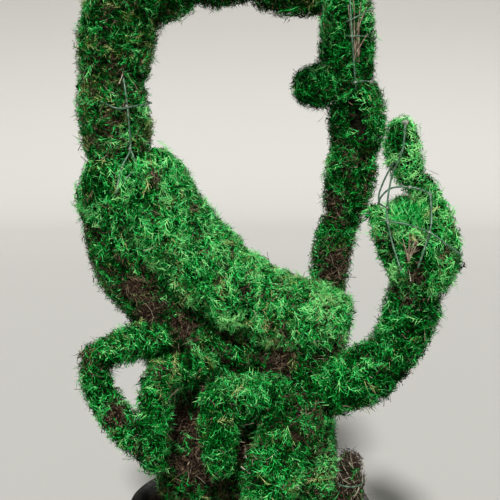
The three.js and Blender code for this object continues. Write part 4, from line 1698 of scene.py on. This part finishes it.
    def add_cage_sprays(self, live: Bundle) -> None:
        """Adds the young sprays that stand up inside the near claw's cage.

        Args:
            live: the bundle that they go into.
        """
        draw = dice("cage sprays")
        count = self.CAGE_SPRAYS
        place = self.CAGE_FLOOR + draw.uniform(-1, 1, (count, 3)) * self.CAGE_SPAN
        sway, turned = self.CAGE_SWAY
        aim = unit(UP + sway * draw.standard_normal((count, 3)))
        facing = unit(turned * draw.standard_normal((count, 3)) - ACROSS)
        sizes = draw.uniform(*self.CAGE_LENGTH, count)[:, None] * np.ones(3)
        shape, faces = self.spray_shape(*self.CAGE_SHAPE, draw)
        made = scattered(shape, faces, place, frames(aim, facing, np.zeros(count)), sizes)
        mean, spread, by_finger = self.CAGE_TONE
        tone = np.repeat(draw.normal(mean, spread, count), len(faces))
        tone += by_finger * draw.standard_normal(len(tone))
        live.add(*made, np.digitize(tone, self.LIVE_STEPS))

    def twigs(self) -> Bundle:
        """Bare twigs: some everywhere under the sprays, and a mat of them in the dead patches.

        Returns:
            The bundle of them.
        """
        bundle = Bundle(f"{self.region.value}_twigs", "bare_wood", TWIG_TINTS)
        for limb in self.limbs:
            self.add_twigs(limb, bundle)
        return bundle

    def add_twigs(self, limb: Limb, bundle: Bundle) -> None:
        """Adds a limb's bare twigs, some of which lie flat on it.

        Args:
            limb: the limb.
            bundle: the bundle that they go into.
        """
        draw = dice(limb.name + " twigs")
        bare = limb.region is Region.KNOB
        density = self.twig_density + self.dead_twig_density
        pole, turn = limb.spread(density * (self.KNOB_TWIGS if bare else 1), draw)
        place, along, outward = limb.skin(pole, turn)
        patch = patchiness(place, DEAD_PATCHES, self.DEAD_EDGE) + self.OLD_TWIGS * limb.dead
        wanted = 1 if bare else self.twig_density / density + patch
        kept = draw.random(len(place)) < wanted
        kept &= self.in_others(limb, place) < self.TWIG_BURIED
        place, along, outward, patch = place[kept], along[kept], outward[kept], patch[kept]
        count = len(place)
        on_knob, in_patch, elsewhere = self.LYING
        lying = np.where(patch > self.PATCHY, in_patch, elsewhere)
        flat = draw.random(count) < (on_knob if bare else lying)
        sway = draw.standard_normal((count, 3))
        ways = []
        for out_share, along_share, chance in (self.LYING_AIM, self.STANDING_AIM):
            ways.append(out_share * outward + along_share * along + chance * sway)
        aim = np.where(flat[:, None], *ways)
        if bare:
            aim = aim - self.KNOB_FLAT * outward * (aim * outward).sum(axis=1, keepdims=True)
        aim = unit(aim)
        length = draw.uniform(*self.TWIG_LENGTH, count)
        inset = draw.uniform(*self.LYING_INSET, count)
        risen = length * (aim * outward).sum(axis=1) + draw.uniform(*self.STANDING_INSET, count)
        inset = np.where(flat, inset, risen)
        inset = inset + np.where(self.in_hollow(limb, place), self.HOLLOW_INSET, 0)
        root = place - outward * inset[:, None] - aim * np.where(flat, 0.5 * length, 0)[:, None]
        thick = draw.uniform(*self.TWIG_THICK, count)
        sizes = np.stack([thick, thick, length], axis=1)
        shapes = [self.twig_shape(draw) for _ in range(self.TWIG_SHAPES)]
        which = draw.integers(0, len(shapes), count)
        tint = np.digitize(draw.random(count), self.KNOB_DRY if bare else self.TWIGS_DRY)
        facing = unit(outward + self.TWIG_FACING * sway)
        axes = frames(aim, facing, draw.uniform(*self.TWIG_ROLL, count))
        for number, (shape, faces) in enumerate(shapes):
            picked = which == number
            if picked.any():
                made = scattered(shape, faces, root[picked], axes[picked], sizes[picked])
                bundle.add(*made, np.repeat(tint[picked], len(faces)))

    def build(self) -> int:
        """Makes the region's pieces.

        Returns:
            How many triangles they come to.
        """
        nodes = [limb.name for limb in self.limbs]
        total = 0
        live, dead = self.sprays()
        for bundle in (self.hearts(), self.twigs(), live, dead):
            if bundle.faces:
                bundle.piece(*nodes)
                total += bundle.triangles()
        return total


# The stem and the bare wood


@dataclass
class BareWood:
    """The hidden stem, the bare stem in the far claw and the bare shoots in the near claw."""

    foot: float = 322.4
    top: float = 560
    radius: float = 38
    waist: float = 48
    flare: float = 74
    flare_height: float = 70
    lean: float = 22
    stem_rows: int = 40
    stem_sides: int = 60
    ridge: float = 3.2  # how deep the bark's furrows are
    # Its wide and its narrow strings: how much they are drawn out, how far apart, and their field's seed
    wide_strings: tuple[float, float, int] = (0.12, 9, 21)
    narrow_strings: tuple[float, float, int] = (0.2, 4, 22)
    claw_stem: tuple[float, float] = (387, 142)
    claw_stem_span: tuple[float, float] = (1892, 2032)
    claw_stem_radii: tuple[float, float] = (7, 5.6)
    # How far it sways along X and along Y, and how quickly
    claw_stem_sway: tuple[tuple[float, float], ...] = ((1.5, 19), (1.2, 25))
    # How much its radius ripples and swells at its knots, how quickly, and how seldom a knot comes
    claw_stem_ripple: tuple[float, float] = (0.06, 6)
    claw_stem_knots: Place = (0.1, 21, 0.9)
    claw_stem_rows: int = 36
    claw_stem_sides: int = 14
    # Thin shoots beside it: where each rises from and how far, as x, y and z
    claw_shoots: tuple[tuple[Place, Place], ...] = (
        ((371, 113, 1894), (21, 11, 206)),
        ((372, 111, 1925), (-5, 12, 180)),
        ((378, 110, 1925), (39, 8, 66)),
        ((379, 113, 2000), (31, 8, 78)),
        ((362, 113, 1960), (-14, 14, 130)),
    )
    claw_shoot_radii: tuple[float, float] = (2.9, 1.5)
    claw_shoot_steps: int = 14
    claw_shoot_sway: float = 3
    claw_shoot_waves: float = 4
    shoots_root: Place = (500, -352, 1238)
    shoot_radius: float = 4.2
    # The shoots in the cage: how far above the root each leaves it, its lean in degrees and its length
    shoots: tuple[tuple[float, float, float], ...] = ((0, 0, 92), (6, -16, 75), (4, 14, 81), (8, 26, 70))
    shoot_steps: int = 12
    shoot_sides: int = 9
    shoot_taper: float = 0.86
    shoot_sway: tuple[float, float] = (2, 3.1)
    thin_sides: int = 6
    side_twigs: int = 3  # to a shoot
    side_twig_from: tuple[int, int] = (4, 9)  # the steps of the shoot that they leave
    side_twig_steps: int = 6
    side_twig_stray: float = 0.8
    side_twig_ways: Place = (1, 0.35, 0.3)  # how much of it goes along X, Y and Z
    side_twig_length: float = 26
    side_twig_radii: tuple[float, float] = (1.7, 0.6)

    def build_stem(self) -> None:
        """The short trunk, its bark in long stringy ridges."""
        sides, rows = self.stem_sides, self.stem_rows
        height = np.linspace(self.foot, self.top, rows)
        share = (height - self.foot) / (self.top - self.foot)
        stops = (0, self.flare_height / (self.top - self.foot), 1)
        girth = np.interp(share, stops, (self.flare, self.waist, self.radius))
        turn = np.arange(sides) * 2 * math.pi / sides
        x = np.outer(girth, np.cos(turn)) - (self.lean * share)[:, None]
        y = np.outer(girth, np.sin(turn))
        z = np.repeat(height[:, None], sides, axis=1)
        place = np.stack([x, y, z], axis=2).reshape(-1, 3)
        drawn, apart, seed = self.wide_strings
        strings = np.abs(drift(place * (1, 1, drawn), apart, seed)) * self.ridge
        drawn, apart, seed = self.narrow_strings
        strings = strings + drift(place * (1, 1, drawn), apart, seed)
        spoke = np.stack([np.cos(turn), np.sin(turn), 0 * turn], axis=1)
        place = place - np.tile(spoke, (rows, 1)) * strings[:, None]
        ends = np.array([[0, 0, self.foot], [-self.lean, 0, self.top]])
        bundle = Bundle("conifer_stem", "bare_wood", (BARK,), smooth=True)
        bundle.add(np.concatenate([place, ends]), closed_faces(rows, sides))
        bundle.piece("stem")

    def claw_shoot_paths(self) -> list[np.ndarray]:
        """The middle lines of the thin shoots on the far claw.

        Returns:
            Rows of x, y, z for each shoot.
        """
        share = np.linspace(0, 1, self.claw_shoot_steps)
        paths = []
        for i, (foot, reach) in enumerate(self.claw_shoots):
            waves = np.sin(self.claw_shoot_waves * share + 2 * i)
            sway = np.outer(waves * share, ACROSS) * self.claw_shoot_sway
            paths.append(np.array(foot, float) + np.outer(share, reach) + sway)
        return paths

    def build_claw_stem(self) -> None:
        """The pale stem in the far claw's hollow, with knots where twigs have broken off, and shoots."""
        height = np.linspace(*self.claw_stem_span, self.claw_stem_rows)
        (across, quick), (back, slow) = self.claw_stem_sway
        x = self.claw_stem[0] + across * np.sin(height / quick)
        y = self.claw_stem[1] + back * np.cos(height / slow)
        path = np.stack([x, y, height], axis=1)
        radii = np.interp(height, self.claw_stem_span, self.claw_stem_radii)
        ripple, quick = self.claw_stem_ripple
        knot, slow, seldom = self.claw_stem_knots
        radii = radii * (1 + ripple * np.sin(height / quick) + knot * (np.sin(height / slow) > seldom))
        bundle = Bundle("far_claw_stem", "bare_wood", (PALE_BARK,), smooth=True)
        bundle.add(*tube(path, radii, self.claw_stem_sides))
        for shoot in self.claw_shoot_paths():
            radii = np.linspace(*self.claw_shoot_radii, len(shoot))
            bundle.add(*tube(shoot, radii, self.thin_sides))
        bundle.piece("far_claw_bare_stem")

    def build_shoots(self) -> None:
        """Bare shoots in the near claw's cage, each with a few side twigs."""
        bundle = Bundle("near_claw_shoots", "bare_wood", (PALE_BARK,), smooth=True)
        root = np.array(self.shoots_root, float)
        draw = dice("near claw shoots")
        for rise, degrees, length in self.shoots:
            lean = math.radians(degrees)
            aim = np.array([math.sin(lean), 0, math.cos(lean)])
            share = np.linspace(0, 1, self.shoot_steps)
            far, waves = self.shoot_sway
            sway = np.outer(np.sin(waves * share + degrees), ACROSS) * far
            path = root + rise * UP + np.outer(share * length, aim) + sway
            radii = self.shoot_radius * (1 - self.shoot_taper * share)
            bundle.add(*tube(path, radii, self.shoot_sides))
            for _ in range(self.side_twigs):
                at = path[draw.integers(*self.side_twig_from)]
                out = unit(aim + self.side_twig_stray * draw.standard_normal(3) * self.side_twig_ways)
                side = at + np.outer(np.linspace(0, self.side_twig_length, self.side_twig_steps), out)
                radii = np.linspace(*self.side_twig_radii, self.side_twig_steps)
                bundle.add(*tube(side, radii, self.thin_sides))
        bundle.piece("near_claw_bare_twigs")

    def build(self) -> None:
        """Makes all three."""
        self.build_stem()
        self.build_claw_stem()
        self.build_shoots()


# The pot and its soil


@dataclass
class Planter:
    """A plain low round pot of fibre-clay, and the soil in it."""

    height: float = 300
    foot: float = 340
    rim: float = 430
    wall: float = 26
    base: float = 28
    band: float = 46
    band_out: float = 12
    edge_drop: float = 26  # how far under the rim the soil's edge lies
    crown: float = 322  # the soil's height in the middle
    flat: float = 130  # how far out from the middle it is level
    heap: float = 34  # how much higher it is heaped on one side
    heap_at: float = 2.5  # which side, in radians from X
    clear: float = 0.4
    sides: int = 160
    uneven: tuple[float, float] = (0.0016, 0.0009)  # how far out of round the pot is
    soil_rings: int = 34
    soil_sides: int = 120
    inmost: float = 30
    # Two sizes of lumps: how high they are, how far apart, and the seed of their field
    lumps: tuple[tuple[float, float, int], ...] = ((5, 34, 31), (3.5, 13, 32))
    lumps_sunk: float = 2
    edge_level: float = 30  # how far in from the pot's wall the lumps are drawn down
    clods: int = 1500
    clod_reach: tuple[float, float] = (0.06, 0.96)
    clod_size: tuple[float, float] = (2.5, 9)
    clod_shape: tuple[float, float] = (0.6, 1.2)
    bark_share: float = 0.12
    fallen: int = 420
    fallen_reach: tuple[float, float] = (0.1, 0.92)
    fallen_size: tuple[float, float] = (22, 46)
    fallen_shape: tuple[int, float, float] = (8, 0.04, 0.45)
    fallen_lift: float = 3

    @property
    def edge(self) -> float:
        """The height of the soil's edge."""
        return self.height - self.edge_drop

    @property
    def inside(self) -> float:
        """The radius of the soil's edge."""
        return self.radius_at(self.edge) - self.wall - self.clear

    def radius_at(self, height: float) -> float:
        """The pot's outer radius under its band, at a height."""
        return self.foot + (self.rim - self.foot) * height / self.height

    def build_pot(self) -> None:
        """The pot, with its edges rounded as a mould leaves them."""
        top, band_foot = self.height, self.height - self.band
        band, under = self.radius_at(band_foot) + self.band_out, self.radius_at(band_foot)
        lip, inner = self.rim + self.band_out, self.rim - self.wall
        outer_heights = np.linspace(24, band_foot - 6, 9)
        band_heights = np.linspace(band_foot + 20, top - 9, 3)
        inner_heights = np.linspace(top - 40, self.base + 8, 6)
        outline = [
            (self.foot - 8, 0.0),
            (self.foot - 2, 1.5),
            (self.foot + 1.5, 7.0),
            *((self.radius_at(h), h) for h in outer_heights),
            (under + 1.5, band_foot - 1),
            (band - 3, band_foot + self.band_out - 5),
            (band, band_foot + self.band_out),
            *((self.radius_at(h) + self.band_out, h) for h in band_heights),
            (lip - 2, top - 3.5),
            (lip - 7, top),
            (inner + 7, top),
            (inner + 1.8, top - 2.5),
            (inner, top - 7),
            *((self.radius_at(h) - self.wall, h) for h in inner_heights),
            (self.radius_at(self.base) - self.wall - 8, self.base),
        ]
        corners, faces = lathe([(0, 0), *outline, (0, self.base)], self.sides)
        turn = np.arctan2(corners[:, 1], corners[:, 0])
        broad, fine = self.uneven
        corners[:, :2] *= (1 + broad * np.sin(3 * turn + 1) + fine * np.sin(7 * turn))[:, None]
        bundle = Bundle("fibre_clay_pot", "planter", (CLAY,), smooth=True)
        bundle.add(corners, faces)
        bundle.piece("pot")

    def soil_height(self, x: np.ndarray, y: np.ndarray) -> np.ndarray:
        """The height of the soil at places seen from above.

        Args:
            x: their x.
            y: their y.

        Returns:
            One height per place.
        """
        share = np.clip((self.inside - np.hypot(x, y)) / (self.inside - self.flat), 0, 1)
        facing = 0.5 + 0.5 * np.cos(np.arctan2(y, x) - self.heap_at)
        rise = np.sin(share * math.pi / 2)
        heap = self.heap * facing * np.sin(share * math.pi)
        return self.edge + (self.crown - self.edge) * rise + heap

    def build_soil(self) -> None:
        """The soil, lumpy on top."""
        foot = self.base + self.clear
        rings = np.linspace(self.inside, self.inmost, self.soil_rings)
        profile = [(0, foot), (self.radius_at(self.base) - self.wall - 9, foot)]
        profile += [(radius, self.edge) for radius in rings]
        corners, faces = lathe([*profile, (0, self.edge)], self.soil_sides)
        x, y = corners[:, 0], corners[:, 1]
        level = np.stack([x, y, 0 * x], axis=1)
        lumps = sum(high * drift(level, apart, seed) for high, apart, seed in self.lumps)
        lumps = lumps * np.clip((self.inside - np.hypot(x, y)) / self.edge_level, 0, 1)
        top = corners[:, 2] > self.edge - 1
        corners[:, 2] = np.where(top, self.soil_height(x, y) + lumps - self.lumps_sunk, corners[:, 2])
        bundle = Bundle("potting_soil", "soil", (SOIL_FINISH,), smooth=True)
        bundle.add(corners, faces)
        bundle.piece("soil")

    def strewn(self, count: int, reach: tuple[float, float], draw: np.random.Generator) -> np.ndarray:
        """Places strewn evenly over the soil.

        Args:
            count: how many.
            reach: the least and the greatest square of their distance from the middle, over the edge's.
            draw: the generator to use.

        Returns:
            Rows of x, y, z.
        """
        turn = draw.uniform(0, 2 * math.pi, count)
        radius = self.inside * np.sqrt(draw.uniform(*reach, count))
        x, y = radius * np.cos(turn), radius * np.sin(turn)
        return np.stack([x, y, self.soil_height(x, y)], axis=1)

    def build_litter(self) -> None:
        """Clods, bark crumbs and brown sprays that lie on the soil."""
        draw = dice("litter")
        count = self.clods
        place = self.strewn(count, self.clod_reach, draw)
        lump = [(1, 0, 0), (0, 1, 0), (-1, 0, 0), (0, -1, 0), (0, 0, 0.8), (0, 0, -0.6)]
        upper = [(0, 1, 4), (1, 2, 4), (2, 3, 4), (3, 0, 4)]
        lower = [(1, 0, 5), (2, 1, 5), (3, 2, 5), (0, 3, 5)]
        aim = unit(draw.standard_normal((count, 3)) + 2 * UP)
        axes = frames(aim, unit(draw.standard_normal((count, 3))), draw.uniform(0, 6, count))
        size = draw.uniform(*self.clod_size, count)[:, None]
        size = size * draw.uniform(*self.clod_shape, (count, 3))
        clods = Bundle("soil_clods", "soil", (SOIL_FINISH, TWIG_TINTS[1]))
        made = scattered(np.array(lump, float), np.array(upper + lower), place, axes, size)
        is_bark = (draw.random(count) < self.bark_share).astype(int)
        clods.add(*made, np.repeat(is_bark, len(upper + lower)))
        clods.piece()
        count = self.fallen
        place = self.strewn(count, self.fallen_reach, draw) + self.fallen_lift * UP
        sway = draw.standard_normal((count, 3))
        axes = frames(unit(sway * (1, 1, 0.1)), unit(UP + 0.2 * sway), np.zeros(count))
        size = draw.uniform(*self.fallen_size, count)[:, None] * np.ones(3)
        shape, faces = Foliage.spray_shape(*self.fallen_shape, draw)
        fallen = Bundle("fallen_sprays", "dead_twigs", DEAD_TINTS)
        made = scattered(shape, faces, place, axes, size)
        fallen.add(*made, np.repeat(draw.integers(0, len(DEAD_TINTS), count), len(faces)))
        fallen.piece()

    def build(self) -> None:
        """Makes the pot and what is in it."""
        self.build_pot()
        self.build_soil()
        self.build_litter()


# The studio


@dataclass
class Studio:
    """A pale floor that curves up all round, one soft sun in front, a pale room, and the camera."""

    eye: Place = (0, -3200, 1670)
    down: float = 7.8
    focal_px: float = 914
    frame_px: float = 500
    sensor: float = 36
    far_end: float = 200  # how far the camera sees, in metres
    floor_radius: float = 12000
    middle: float = 0.25  # the radius of the floor's first ring, over the floor's
    curve: float = 4000
    wall: float = 7500
    sides: int = 96
    steps: int = 16
    sunk: float = 0.6  # how far the floor lies under the pot
    sun_power: float = 3.6
    sun_width: float = 8  # in degrees
    sun_turn: tuple[float, float, float] = (38, 0, -4)  # in degrees
    room_colour: str = "#e9ebea"
    room_strength: float = 0.28

    def build_floor(self) -> None:
        """A wide round sheet of pale paper at the pot's foot, curved up into a wall that glows a little."""
        sides = self.sides
        bend = np.linspace(0, math.pi / 2, self.steps)
        reach = self.floor_radius + self.curve * np.sin(bend)
        rise = self.curve * (1 - np.cos(bend))
        reach = np.concatenate([[self.middle * self.floor_radius], reach, reach[-1:]])
        rise = np.concatenate([[0], rise, [self.wall]])
        turn = np.arange(sides) * 2 * math.pi / sides
        x, y = np.outer(reach, np.cos(turn)), np.outer(reach, np.sin(turn))
        rows = np.stack([x, y, np.repeat(rise[:, None], sides, axis=1)], axis=2).reshape(-1, 3)
        faces = [tuple(range(sides))]
        for i in range(len(reach) - 1):
            for k in range(sides):
                a, b = i * sides + k, i * sides + (k + 1) % sides
                faces.append((a, a + sides, b + sides, b))
        mesh = bpy.data.meshes.new("studio_floor")
        mesh.from_pydata((rows * MM).tolist(), [], faces)
        mesh.polygons.foreach_set("use_smooth", np.ones(len(faces), bool))
        mesh.materials.append(PAPER.material())
        floor = bpy.data.objects.new("studio_floor", mesh)
        floor.location.z = -self.sunk * MM
        bpy.context.scene.collection.objects.link(floor)

    def build_light(self) -> None:
        """A soft sun, high in front and a little to the left, and a pale room."""
        lamp = bpy.data.lights.new("overcast_sun", "SUN")
        lamp.energy = self.sun_power
        lamp.angle = math.radians(self.sun_width)
        holder = bpy.data.objects.new("overcast_sun", lamp)
        holder.rotation_euler = tuple(math.radians(turn) for turn in self.sun_turn)
        bpy.context.scene.collection.objects.link(holder)
        world = bpy.data.worlds.new("pale_room")
        world.use_nodes = True
        back = world.node_tree.nodes["Background"]
        back.inputs[0].default_value = linear(self.room_colour)
        back.inputs[1].default_value = self.room_strength
        bpy.context.scene.world = world

    def build_camera(self) -> None:
        """The camera where the photographer stood."""
        lens = bpy.data.cameras.new("camera")
        lens.sensor_width = self.sensor
        lens.sensor_fit = "HORIZONTAL"
        lens.lens = self.focal_px / self.frame_px * self.sensor
        lens.clip_end = self.far_end
        holder = bpy.data.objects.new("camera", lens)
        holder.location = tuple(v * MM for v in self.eye)
        holder.rotation_euler = (math.radians(90 - self.down), 0, 0)
        bpy.context.scene.collection.objects.link(holder)
        bpy.context.scene.camera = holder

    def build(self) -> None:
        """Sets up the whole studio."""
        self.build_floor()
        self.build_light()
        self.build_camera()


def main() -> None:
    """Builds every sub-assembly in order and reports it."""
    logging.basicConfig(level=logging.INFO, format="%(message)s", force=True)
    bpy.context.scene.view_settings.view_transform = "Standard"
    Studio().build()
    Planter().build()
    wood = BareWood()
    wood.build()
    rods = Rods()
    rods.build()
    free = np.concatenate([rods.all_points(), *wood.claw_shoot_paths()])
    limbs = all_limbs()
    total = 0
    for region in Region:
        members = [limb for limb in limbs.values() if limb.region is region]
        total += Foliage(region, members, limbs, free).build()
    log.info("foliage: %d triangles", total)


if __name__ == "__main__":
    main()
